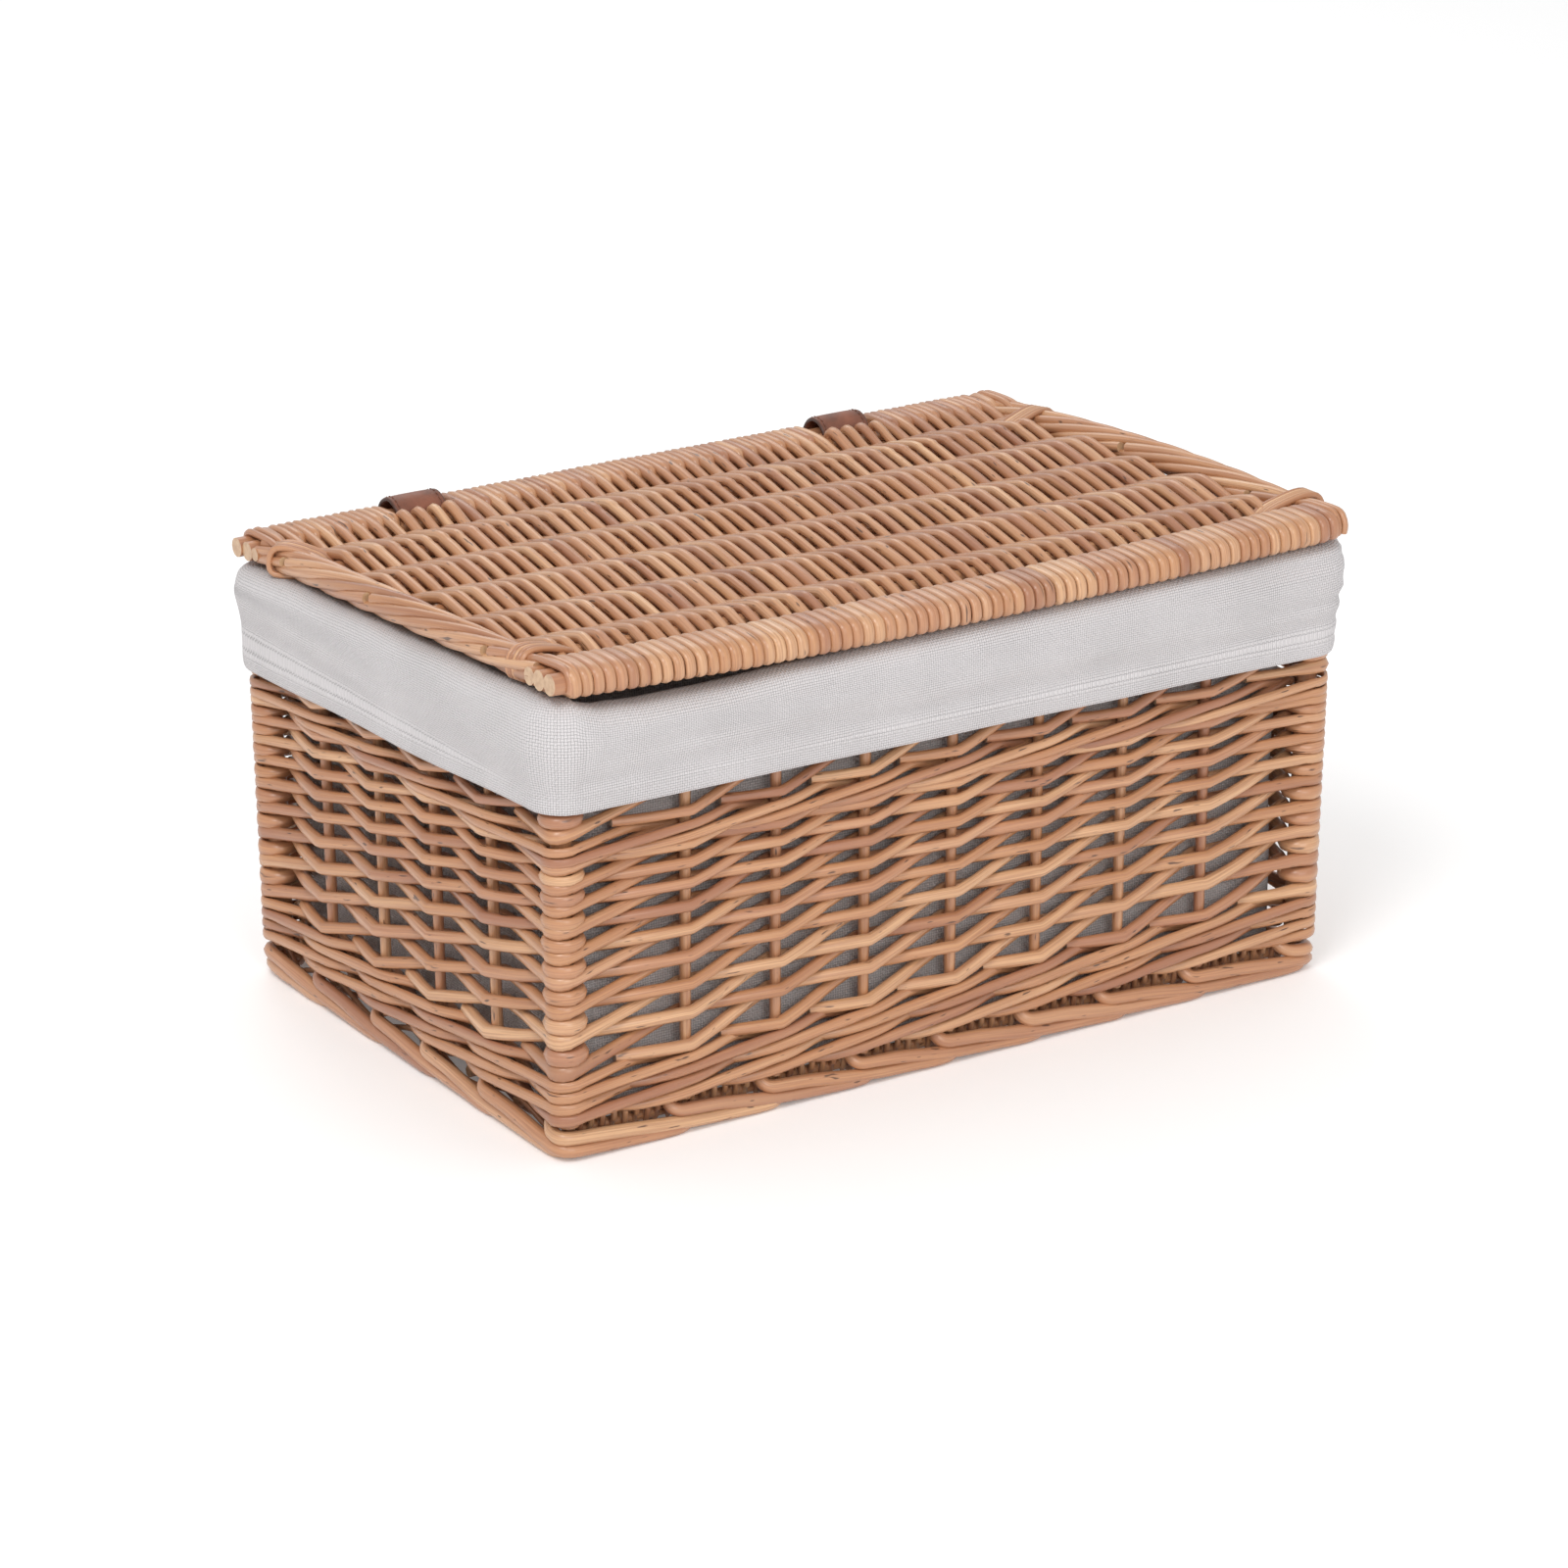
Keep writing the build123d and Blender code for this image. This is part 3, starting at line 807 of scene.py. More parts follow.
class Wales(bpy.types.Operator):
    """Twist the three-rod wales above the foot and below the rim"""

    bl_idname = "sewing_basket.wales"
    bl_label = "Wales"

    def execute(self, context):
        walls = context.scene.basket_walls
        chance = random.Random(12)
        for name, bottom, climb, rounds, share in (
            ("bottom_wale", 16.6 * MM, 10.4 * MM, 2, 1.0),
            ("top_wale", 133.2 * MM, 9.6 * MM, 1, 0.9),
        ):
            lines = Lines()
            wale(lines, bottom, climb, rounds, walls.wale_thickness * share, chance)
            press(weave(name, lines, 7, nodes=[name + "_" + s for s in SIDE_NAMES]))
        return {"FINISHED"}


class RimWeave(bpy.types.Operator):
    """Weave the last rows of the walls, which the liner's cuff covers"""

    bl_idname = "sewing_basket.rim_weave"
    bl_label = "Rim Weave"

    def execute(self, context):
        walls = context.scene.basket_walls
        lines = Lines()
        heights = [z * MM for z in (146.5, 160.0, 171.0, 180.0)]
        rand(lines, heights, walls.weaver_tip, walls.weaver_tip * 0.9, random.Random(13))
        post_rings(lines, [(z * MM, 6.6 * MM) for z in (153.5, 166.0)], random.Random(14))
        weave("rim_weave", lines, 9, nodes=["rim_weave_" + s for s in SIDE_NAMES])
        return {"FINISHED"}


# One strand of the foot border: place in uprights, depth in mm, height in mm
FOOT_STRAND = (
    (-0.2, 9.5, 17.5), (-0.2, 7.4, 14.6), (-0.18, 5.0, 12.2), (-0.12, 3.6, 10.9), (0.0, 3.2, 10.5),
    (0.25, 3.2, 9.6), (0.5, 3.2, 8.0), (0.75, 3.3, 6.2), (1.0, 3.6, 4.9), (1.25, 3.9, 4.1),
    (1.5, 3.9, 3.7), (1.75, 3.8, 3.3), (1.9, 4.2, 3.2), (1.98, 5.6, 3.3), (2.02, 7.6, 3.9),
)


class FootBorder(bpy.types.Operator):
    """Bend the thick strands of the foot border down and along the foot"""

    bl_idname = "sewing_basket.foot_border"
    bl_label = "Foot Border"

    def execute(self, context):
        thickness = context.scene.basket_walls.foot_thickness
        chance = random.Random(15)
        lines = Lines()
        for start in range(COUNT):
            shift = chance.uniform(-0.05, 0.05)
            bulk = chance.uniform(0.94, 1.05)
            lines.add([outside(start + u + shift, depth * MM, z * MM) for u, depth, z in FOOT_STRAND],
                      thickness * bulk)
        foot = weave("foot_border", lines, 15, nodes=["foot_border_" + s for s in SIDE_NAMES], sides=10,
                     smoothness=4, waver=0.3 * MM)
        # The basket stands flat, so nothing of the foot is below the floor
        for vertex in foot.data.vertices:
            vertex.co.z = max(vertex.co.z, 0.0)
        return {"FINISHED"}


class Uprights(bpy.types.Operator):
    """Stand the stakes and corner posts inside the walls"""

    bl_idname = "sewing_basket.uprights"
    bl_label = "Stakes and Posts"

    def execute(self, context):
        for side, name in enumerate(SIDE_NAMES):
            low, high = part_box("stakes_" + name)
            lines = Lines()
            for stake_side, along in UPRIGHTS:
                if stake_side == side and along is not None:
                    lines.add([on_wall(side, along, STAKE_INSET, mix(low.z, high.z, k / 8))
                               for k in range(9)], 2 * STAKE_RADIUS)
            weave("stakes_of_" + name, lines, 20 + side, nodes=["stakes_" + name], waver=0.35 * MM)
        corners = ("front_right", "back_right", "back_left", "front_left")
        for side, corner in enumerate(corners):
            low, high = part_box("corner_post_" + corner)
            lines = Lines()
            lines.add([post_centre(side, mix(low.z, high.z, k / 8)) for k in range(9)], 2 * POST_RADIUS)
            weave("post_" + corner, lines, 30 + side, nodes=["corner_post_" + corner], sides=12,
                  waver=0.2 * MM)
        return {"FINISHED"}


class Base(bpy.types.Operator):
    """Weave the base over its lengthwise sticks"""

    bl_idname = "sewing_basket.base"
    bl_label = "Base"

    def execute(self, context):
        low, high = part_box("base_weave")
        sticks_low, sticks_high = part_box("base_inner_sticks")
        middle = (low.z + high.z) / 2
        stick = (sticks_high.z - sticks_low.z) / 2
        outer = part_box("base_outer_sticks")[1].y - stick
        rows = [-outer] + [40 * MM * k for k in range(-2, 3)] + [outer]
        sticks = Lines()
        for y in rows:
            sticks.add([Vector((mix(sticks_low.x, sticks_high.x, k / 12), y, middle)) for k in range(13)],
                       2 * stick)
        weave("base_sticks", sticks, 41, nodes=["base_inner_sticks", "base_outer_sticks"],
              waver=0.2 * MM)
        pitch = 5.6 * MM
        thickness = high.z - low.z - 2 * stick
        thickness = thickness / 2
        count = int((high.x - low.x - thickness) / pitch)
        lines = Lines()
        for k in range(count + 1):
            x = (k - count / 2) * pitch
            sign = 1 if k % 2 else -1
            swing = stick + thickness / 2
            edge = high.y - thickness / 2
            points = [Vector((x, -edge, 15.6 * MM)), Vector((x, -edge, middle + 3 * MM)),
                      Vector((x, -edge + 1.5 * MM, middle - sign * 0.5 * swing))]
            for row, (here, after) in enumerate(zip(rows, rows[1:])):
                for t in (0.0, 0.2, 0.4, 0.6, 0.8):
                    side = sign * (1 if row % 2 else -1) * math.cos(math.pi * t)
                    points.append(Vector((x, mix(here, after, t), middle - side * swing)))
            last = sign * (1 if len(rows) % 2 else -1)
            points.append(Vector((x, outer, middle - last * swing)))
            points.append(Vector((x, edge - 1.5 * MM, middle - 0.5 * last * swing)))
            points.append(Vector((x, edge, middle + 3 * MM)))
            points.append(Vector((x, edge, 15.6 * MM)))
            lines.add(points, thickness)
        weave("base_weave_rods", lines, 43, nodes=["base_weave"], waver=0.4 * MM)
        return {"FINISHED"}


# The rim and what follows it round

def rim_spot(side, kind, value, outwards, z):
    """A point on a loop round the rim, set out from it: a run has a place from -1 to 1, a turn an angle."""
    corner = max(RIM_CORNER + outwards, 2 * MM)
    long_side = side % 2 == 0
    half_across = (RIM_HALF_WIDTH if long_side else RIM_HALF_LENGTH) + outwards
    half_along = (RIM_HALF_LENGTH if long_side else RIM_HALF_WIDTH) + outwards
    if kind == "run":
        return ALONG[side] * (value * (half_along - corner)) + OUTWARD[side] * half_across + UP * z
    centre = ALONG[side] * (half_along - corner) + OUTWARD[side] * (half_across - corner) + UP * z
    return centre + (OUTWARD[side] * math.cos(value) + ALONG[side] * math.sin(value)) * corner


def rim_stations(spacing, extra=()):
    """Places round the rim: (side, kind, value, position in sides), with extra x places on the back wall."""
    stations = []
    for side in range(4):
        half = (RIM_HALF_LENGTH if side % 2 == 0 else RIM_HALF_WIDTH) - RIM_CORNER
        count = round(2 * half / spacing)
        places = [2 * k / count - 1 for k in range(count)]
        if side == 2:
            # The back wall runs towards -X, so its places are turned round
            wanted = [-x / half for x in extra]
            clear = spacing / half / 2.5
            places = [p for p in places if all(abs(p - w) > clear for w in wanted)] + wanted
        stations += [(side, "run", p, side + 0.04 + 0.92 * (p + 1) / 2) for p in sorted(places)]
        stations += [(side, "turn", math.pi / 2 * k / 7, side + 0.96 + 0.08 * k / 7) for k in range(7)]
    return stations


class TopBorder(bpy.types.Operator):
    """Twist the strands of the top border that the lid's straps turn on"""

    bl_idname = "sewing_basket.top_border"
    bl_label = "Top Border"

    def execute(self, context):
        stations = rim_stations(7 * MM)
        lines = Lines()
        for strand in range(4):
            points = []
            for k, (side, kind, value, _) in enumerate(stations + stations[:1]):
                angle = math.tau * (strand / 4 + k / len(stations) * 24)
                points.append(rim_spot(side, kind, value, 3.5 * MM * math.cos(angle),
                                       HINGE.z + 3.5 * MM * math.sin(angle)))
            lines.add(points, 6.6 * MM)
        weave("top_border", lines, 51, nodes=["top_border_" + s for s in SIDE_NAMES], waver=0.2 * MM)
        return {"FINISHED"}


# The lid

def lid_point(x, y, w):
    """A point of the lid from its own section: x along the hinge, y back from it, w up from it."""
    bow = bpy.context.scene.basket_lid.bow
    forward = min(1.0, max(0.0, y / LID_FRONT))
    lean = 1.2 if x < 0 else 0.8
    lifted = w + bow * lean * (x / (205 * MM)) ** 2 * forward ** 1.5
    return Vector((
        LID_SHIFT + x,
        HINGE.y + y * math.cos(LID_TILT) + lifted * math.sin(LID_TILT),
        HINGE.z - y * math.sin(LID_TILT) + lifted * math.cos(LID_TILT),
    ))


def strap_at(x, room):
    """True where a lid rod at x meets a strap."""
    return any(abs(x + LID_SHIFT - place) < STRAP_WIDTH / 2 + room for place in STRAPS.values())


class LidWeave(bpy.types.Operator):
    """Weave the lid's thin rods from round its back sticks, over and under its ribs, to its front"""

    bl_idname = "sewing_basket.lid_weave"
    bl_label = "Lid Weave"

    def execute(self, context):
        lid = context.scene.basket_lid
        chance = random.Random(21)
        lines = Lines()
        count = int(2 * (LID_WEAVE_HALF - lid.weaver / 2) / lid.pitch)
        swing = 2.7 * MM + lid.weaver / 2
        for k in range(count + 1):
            x = (k - count / 2) * lid.pitch
            sign = 1 if k % 2 else -1
            thickness = lid.weaver * chance.choice((0.88, 0.94, 1.0, 1.0, 1.05, 1.14))
            rows = [*RIB_ROWS, LID_FRONT + FRONT_WIDTH - 3 * MM]
            drift = [x + chance.uniform(-0.4, 0.4) * MM for _ in rows]
            at_strap = strap_at(x, lid.weaver * 0.6)
            start = self.strap_start(sign) if at_strap else self.back_turn(sign, thickness)
            points = [lid_point(x + across, y, w) for across, y, w in start]
            for row in range(len(rows) - 1):
                ends = [sign * (-1) ** r * swing * (0.3 if r == len(rows) - 1 else 1.0)
                        for r in (row, row + 1)]
                for t in (0.0, 0.12, 0.3, 0.5, 0.7, 0.88):
                    points.append(lid_point(mix(drift[row], drift[row + 1], t),
                                            mix(rows[row], rows[row + 1], t),
                                            LID_MIDDLE + mix(ends[0], ends[1], bend(t))))
            points.append(lid_point(drift[-1], rows[-1], LID_MIDDLE + ends[1]))
            lines.add(points, thickness)
        weave("lid_weave_rods", lines, 61, "lid", ["lid_weave"], waver=0.8 * MM)
        return {"FINISHED"}

    def back_turn(self, sign, thickness):
        """A turn round the back sticks: over the top and on under the first rib, or round and up over it."""
        high = BACK_HALF_HEIGHT - thickness / 2
        rear = LID_BACK - thickness / 2
        near = LID_BACK - BACK_WIDTH + thickness / 2
        top = [(rear - 0.2 * MM, 0.72), (rear - 3 * MM, 0.97), (mix(rear, near, 0.5), 1.04),
               (near + 3.5 * MM, 0.98)]
        turn = [(0.0, y, LID_MIDDLE + share * high) for y, share in top]
        bottom = [(0.0, y, LID_MIDDLE - share * high) for y, share in top]
        back = [(0.0, rear + 0.3 * MM, LID_MIDDLE)]
        if sign < 0:
            over = [(0.0, near - 6 * MM, LID_MIDDLE + 0.66 * high),
                    (0.0, near - 17 * MM, LID_MIDDLE - 0.1 * high)]
            return bottom[::-1] + back + turn + over
        front = [(0.4 * MM, near, LID_MIDDLE + 0.2 * high),
                 (0.4 * MM, near + 0.8 * MM, LID_MIDDLE + 0.8 * high)]
        rise = [(0.0, near - 8 * MM, LID_MIDDLE - 0.7 * high),
                (0.0, near - 19 * MM, LID_MIDDLE + 0.2 * high)]
        return front + turn[::-1] + back + bottom + rise

    def strap_start(self, sign):
        """At a strap the rods start as a hump over the foremost back stick."""
        if sign < 0:
            return [(0.0, STRAP_FRONT - 2.6 * MM, LID_MIDDLE - 1 * MM),
                    (0.0, STRAP_FRONT - 3.2 * MM, LID_MIDDLE + 3.5 * MM),
                    (0.0, STRAP_FRONT - 6 * MM, LID_MIDDLE + 6.2 * MM),
                    (0.0, STRAP_FRONT - 12 * MM, LID_MIDDLE + 4.5 * MM),
                    (0.0, STRAP_FRONT - 26 * MM, LID_MIDDLE - 1.5 * MM)]
        return [(0.0, STRAP_FRONT - 3 * MM, LID_MIDDLE - 4.6 * MM),
                (0.0, STRAP_FRONT - 14 * MM, LID_MIDDLE - 3.8 * MM),
                (0.0, STRAP_FRONT - 26 * MM, LID_MIDDLE + 1.0 * MM)]


def round_bundle(middle, angle, half_width, half_height):
    """A point of a flattened turn round a bundle of sticks, as (y, w)."""
    c, s = math.cos(angle), math.sin(angle)
    y = middle + half_width * math.copysign(abs(c) ** 0.62, c)
    return y, LID_MIDDLE + half_height * math.copysign(abs(s) ** 0.62, s)


class LidEdges(bpy.types.Operator):
    """Wind the skein round the sticks of the lid's front edge and the last of its back edge"""

    bl_idname = "sewing_basket.lid_edges"
    bl_label = "Lid Edges"

    def execute(self, context):
        lid = context.scene.basket_lid
        squeeze = lid.wrap / lid.wrap_pitch
        chance = random.Random(22)
        lines = Lines()
        for middle, width, height, begin, end in (
            (LID_BACK - BACK_WIDTH / 2, BACK_WIDTH, BACK_HALF_HEIGHT, -196.5 * MM, -190 * MM),
            (LID_BACK - BACK_WIDTH / 2, BACK_WIDTH, BACK_HALF_HEIGHT, 192 * MM, 201 * MM),
            (LID_FRONT + FRONT_WIDTH / 2, FRONT_WIDTH, FRONT_HALF_HEIGHT, -201 * MM, FRONT_TIP),
        ):
            half_width = width / 2 - lid.wrap / 2
            half_height = height - lid.wrap / 2
            turns = round((end - begin) / lid.wrap_pitch)
            points = []
            for k in range(16 * turns + 1):
                to_tip = max(0.0, 1 - (16 * turns - k) / TIP_POINTS)
                snug = 1 - TIP_SQUEEZE * ease(to_tip) if end == FRONT_TIP else 1.0
                y, w = round_bundle(middle, math.tau * k / 16 - math.pi / 2, half_width * snug,
                                    half_height * snug)
                x = mix(begin, end, k / (16 * turns)) + lid.wrap_pitch * 0.3 * (y - middle) / half_width
                point = lid_point(x, y, w)
                point.x *= squeeze
                points.append(point)
            # A new skein is laid in every few turns
            first = 0
            while first < len(points) - 1:
                last = min(len(points) - 1, first + 16 * chance.randint(1, 5))
                lines.add(points[first:last + 1], lid.wrap * chance.uniform(0.95, 1.05))
                first = last
        weave("lid_edge_wraps", lines, 63, "lid", waver=0.35 * MM, stretch=1 / squeeze, sides=10)
        return {"FINISHED"}


# Corner lashings: end of the lid, then outer and inner ends of the band as x and y in mm
LASHINGS = {
    "front_left": (-1, (-205, -233), (-172, -229)),
    "back_left": (-1, (-204.5, -24), (-186, -47)),
    "back_right": (1, (205.5, -37), (167, -49)),
    "front_right": (1, (210.5, -237), (176, -235)),
}
# One skein of a lashing: share of the way in, height above the lid's middle in mm
LASHING_PATH = (
    (0.6, -5.0), (0.3, -5.5), (0.08, -5.1), (0.0, -2.6), (0.0, 1.5), (0.04, 5.0), (0.13, 7.0), (0.27, 7.3),
    (0.42, 6.6), (0.58, 5.4), (0.76, 3.6), (0.9, 0.8), (0.98, -1.8), (0.9, -4.2), (0.6, -5.1),
)
END_ROPES = {"left": (-1, 198.5 * MM, 2 * MM, 6.2 * MM), "right": (1, 198 * MM, 3.6 * MM, 7.0 * MM)}
ROPE_RODS = 7
ROPE_ROD = 4.9 * MM
ROPE_HALF_HEIGHT = 4.0 * MM
START_ANGLE = 0.45                      # place round the rope where a new rod comes in
START_ROOM = 0.08
SHORTEST_ROD = 5                        # in points
LASHING_SKEINS = 5
SKEIN = 2.9 * MM


class LidEnds(bpy.types.Operator):
    """Twine the ropes across the lid's ends and lash them to its corners"""

    bl_idname = "sewing_basket.lid_ends"
    bl_label = "Lid Ends"

    def execute(self, context):
        for end, (sign, place, bow, half_width) in END_ROPES.items():
            weave("end_rope_" + end, self.rope(sign, place, bow, half_width), 70 + sign, "lid",
                  ["lid_end_rope_" + end], waver=0.5 * MM)
        for corner, (sign, outer, inner) in LASHINGS.items():
            lines = self.lashing(outer, inner)
            self.cap(lines, sign, corner.startswith("front"))
            depth, end = corner.split("_")
            weave("lashing_" + corner, lines, 75 + sign, "lid", [f"lid_corner_binding_{depth}_{end}"],
                  waver=0.4 * MM)
        return {"FINISHED"}

    def rope(self, sign, place, bow, half_width):
        """Seven rods in a long lay, which change sides over two ribs; every other one starts anew on top."""
        lines = Lines()
        back = LID_BACK - BACK_WIDTH + 5 * MM
        front = LID_FRONT + FRONT_WIDTH - 5 * MM
        half_twist = 2 * (RIB_ROWS[0] - RIB_ROWS[1])
        for rod in range(ROPE_RODS):
            points = []
            for k in range(57):
                y = mix(back, front, k / 56)
                angle = (math.pi * (RIB_ROWS[0] - y) / half_twist + math.tau * rod / ROPE_RODS) % math.tau
                belly = bow * math.sin(math.pi * k / 56)
                fresh = rod % 2 and START_ANGLE <= angle < START_ANGLE + START_ROOM
                if fresh and len(points) >= SHORTEST_ROD:
                    lines.add(points, ROPE_ROD)
                    points = []
                x = sign * (place + belly) - half_width * math.cos(angle)
                height = ROPE_HALF_HEIGHT * math.sin(angle)
                points.append(lid_point(x, y, LID_MIDDLE + 0.8 * belly + height))
            if len(points) >= SHORTEST_ROD:
                lines.add(points, ROPE_ROD)
        return lines

    def lashing(self, outer, inner):
        """Thin skeins round the rope's end and the rods beside it."""
        lines = Lines()
        outer = Vector(outer) * MM
        inner = Vector(inner) * MM
        run = inner - outer
        across = Vector((-run.y, run.x)).normalized()
        for skein in range(LASHING_SKEINS):
            points = []
            for along, lift in LASHING_PATH:
                spread = (skein - (LASHING_SKEINS - 1) / 2) * mix(2.2, 2.0, along) * MM
                spot = outer + run * along + across * spread
                points.append(lid_point(spot.x, spot.y, LID_MIDDLE + lift * MM))
            lines.add(points, SKEIN)
        return lines

    def cap(self, lines, sign, at_front):
        """Two rods of the rope that bend over the ends of the edge sticks."""
        edge, inwards = (LID_FRONT, 1) if at_front else (LID_BACK, -1)
        for reach, top in ((197.0, 6.4), (200.6, 6.0)):
            outline = ((34, 3.5), (29, 5.2), (24, top), (16, top + 0.2), (8, top), (4.2, 4.4), (2.4, 0.0),
                       (3.2, -3.5))
            lines.add([lid_point(sign * reach * MM, edge + inwards * y * MM, LID_MIDDLE + w * MM)
                       for y, w in outline], 3.4 * MM)


class LidSticks(bpy.types.Operator):
    """Lay the lid's ribs and the sticks of its front and back edges"""

    bl_idname = "sewing_basket.lid_sticks"
    bl_label = "Lid Sticks"

    def execute(self, context):
        chance = random.Random(25)
        back = [(LID_BACK - inset * MM, radius * MM) for inset, radius in BACK_BUNDLE]
        front = [(LID_FRONT + inset * MM, radius * MM) for inset, radius in FRONT_BUNDLE]
        ribs = [(y, 3 * MM) for y in RIB_ROWS]
        for name, rods, reach in (
            ("lid_back_sticks", back, (207.5 * MM, 204.5 * MM)),
            ("lid_front_sticks", front, (207 * MM, 201.5 * MM)),
            ("lid_ribs", ribs, (199 * MM, 199 * MM)),
        ):
            lines = Lines()
            for y, radius in rods:
                left = chance.uniform(-0.8, 0.8) * MM - reach[0]
                right = chance.uniform(-0.8, 0.8) * MM + reach[1]
                lines.add([lid_point(mix(left, right, k / 20), y, LID_MIDDLE) for k in range(21)], 2 * radius)
            weave(name + "_rods", lines, 80, "lid", [name], sides=12, waver=0.5 * MM)
        return {"FINISHED"}


# Cloth

def cloth_mesh(name, rows, measures, closed, keep=None, cloth="canvas"):
    """A cloth grid from rows of points, with a UV map in metres; keep(row, column) drops faces."""
    columns = len(rows[0])
    points = [p for row in rows for p in row]
    faces = []
    marks = []
    across = columns if closed else columns - 1
    for r in range(len(rows) - 1):
        for c in range(across):
            if keep is None or keep(r, c):
                d = (c + 1) % columns
                faces.append((r * columns + c, (r + 1) * columns + c, (r + 1) * columns + d, r * columns + d))
                marks.append((r, c))
    mesh = bpy.data.meshes.new(name)
    mesh.from_pydata(points, [], faces)
    layer = mesh.uv_layers.new(name="cloth")
    for polygon, (r, c) in zip(mesh.polygons, marks):
        corners = ((r, c), (r + 1, c), (r + 1, c + 1), (r, c + 1))
        for loop, (rr, cc) in zip(polygon.loop_indices, corners):
            layer.data[loop].uv = measures(rr, cc)
    mesh.polygons.foreach_set("use_smooth", [True] * len(mesh.polygons))
    mesh.materials.append(finish(cloth))
    return mesh


def clean(mesh, inward):
    """Drop loose points, turn the faces the right way and leave a tidy sheet."""
    work = bmesh.new()
    work.from_mesh(mesh)
    bmesh.ops.delete(work, geom=[v for v in work.verts if not v.link_faces], context="VERTS")
    if inward:
        bmesh.ops.reverse_faces(work, faces=work.faces)
    work.to_mesh(mesh)
    work.free()


def between(keys, place):
    """Smooth value between keys of (place, value), round a loop of four sides."""
    keys = [*keys, (4 + keys[0][0], keys[0][1])]
    for (a, low), (b, high) in zip(keys, keys[1:]):
        if a <= place <= b:
            return mix(low, high, ease((place - a) / (b - a)))
    return keys[0][1]


# Heights of the cuff in mm, by place round the basket: 0 is the front left corner
HEM_HEIGHTS = ((0, 158), (0.25, 157.2), (0.5, 156), (0.75, 155), (1, 153.6), (1.5, 152.5), (2, 150.5),
               (2.5, 150), (3, 148.5), (3.5, 152.5))
TOP_HEIGHTS = ((0, 206.3), (0.03, 204.6), (0.07, 201), (0.12, 199.6), (0.2, 199.3), (0.3, 200.5),
               (0.42, 201.5), (0.6, 202.2), (0.8, 203), (1, 204.6), (1.25, 203.0), (1.5, 200.4),
               (1.75, 197.6),
               (2, 194.8), (2.5, 194.2), (3, 195.0), (3.25, 198), (3.5, 200.8), (3.75, 203.6))


def cuff_profile(place, hem_height):
    """The cuff's cloth from inside the hem, over the rim, to its inner edge: (outwards, height), in mm."""
    hem = between(HEM_HEIGHTS, place)
    top = between(TOP_HEIGHTS, place)
    at_back = max(0.0, 1 - abs(place - 2.5) / 0.55)
    ease_in = min(1.0, at_back * 4)
    fold = hem_height / MM
    points = [
        (6.3, hem + fold - 0.6), (6.1, hem + 3.4), (6.2, hem + 1.0), (6.9, hem), (7.7, hem + 0.9),
        (8.2, hem + 3.4), (8.3, hem + fold), (8.4, 167), (9.1, 172), (10.6, 178), (11.6, 184),
        (11.2, top - 8), (9.9, top - 3.6), (6.8, top - 0.9), (2.4, top), (-2.0, top - 0.3),
        (-6.0, top - 1.9), (-8.8, top - 5.5), (-9.9, 184), (-10.6, 178), (-11.3, 171.5),
    ]
    return [(mix(o, min(o, 8.7), ease_in), z) for o, z in points]


def curve_through(points, steps):
    """Catmull-Rom points through a list of pairs."""
    ends = [points[0], *points, points[-1]]
    found = []
    for k in range(1, len(ends) - 2):
        for s in range(steps):
            t = s / steps
            found.append(tuple(0.5 * (
                2 * ends[k][a] + (ends[k + 1][a] - ends[k - 1][a]) * t
                + (2 * ends[k - 1][a] - 5 * ends[k][a] + 4 * ends[k + 1][a] - ends[k + 2][a]) * t * t
                + (3 * ends[k][a] - ends[k - 1][a] - 3 * ends[k + 1][a] + ends[k + 2][a]) * t ** 3)
                for a in (0, 1)))
    found.append(points[-1])
    return found


CUFF_STEPS = 3
SEAMS = (0.02, 1.02, 2.02, 3.985)       # the corner seams, by place round the basket
CUFF_SPACING = 4.2 * MM                 # between the cuff's columns of points
SLOT_ROOM = 1.5 * MM
SLOT_BOTTOM = 165 * MM


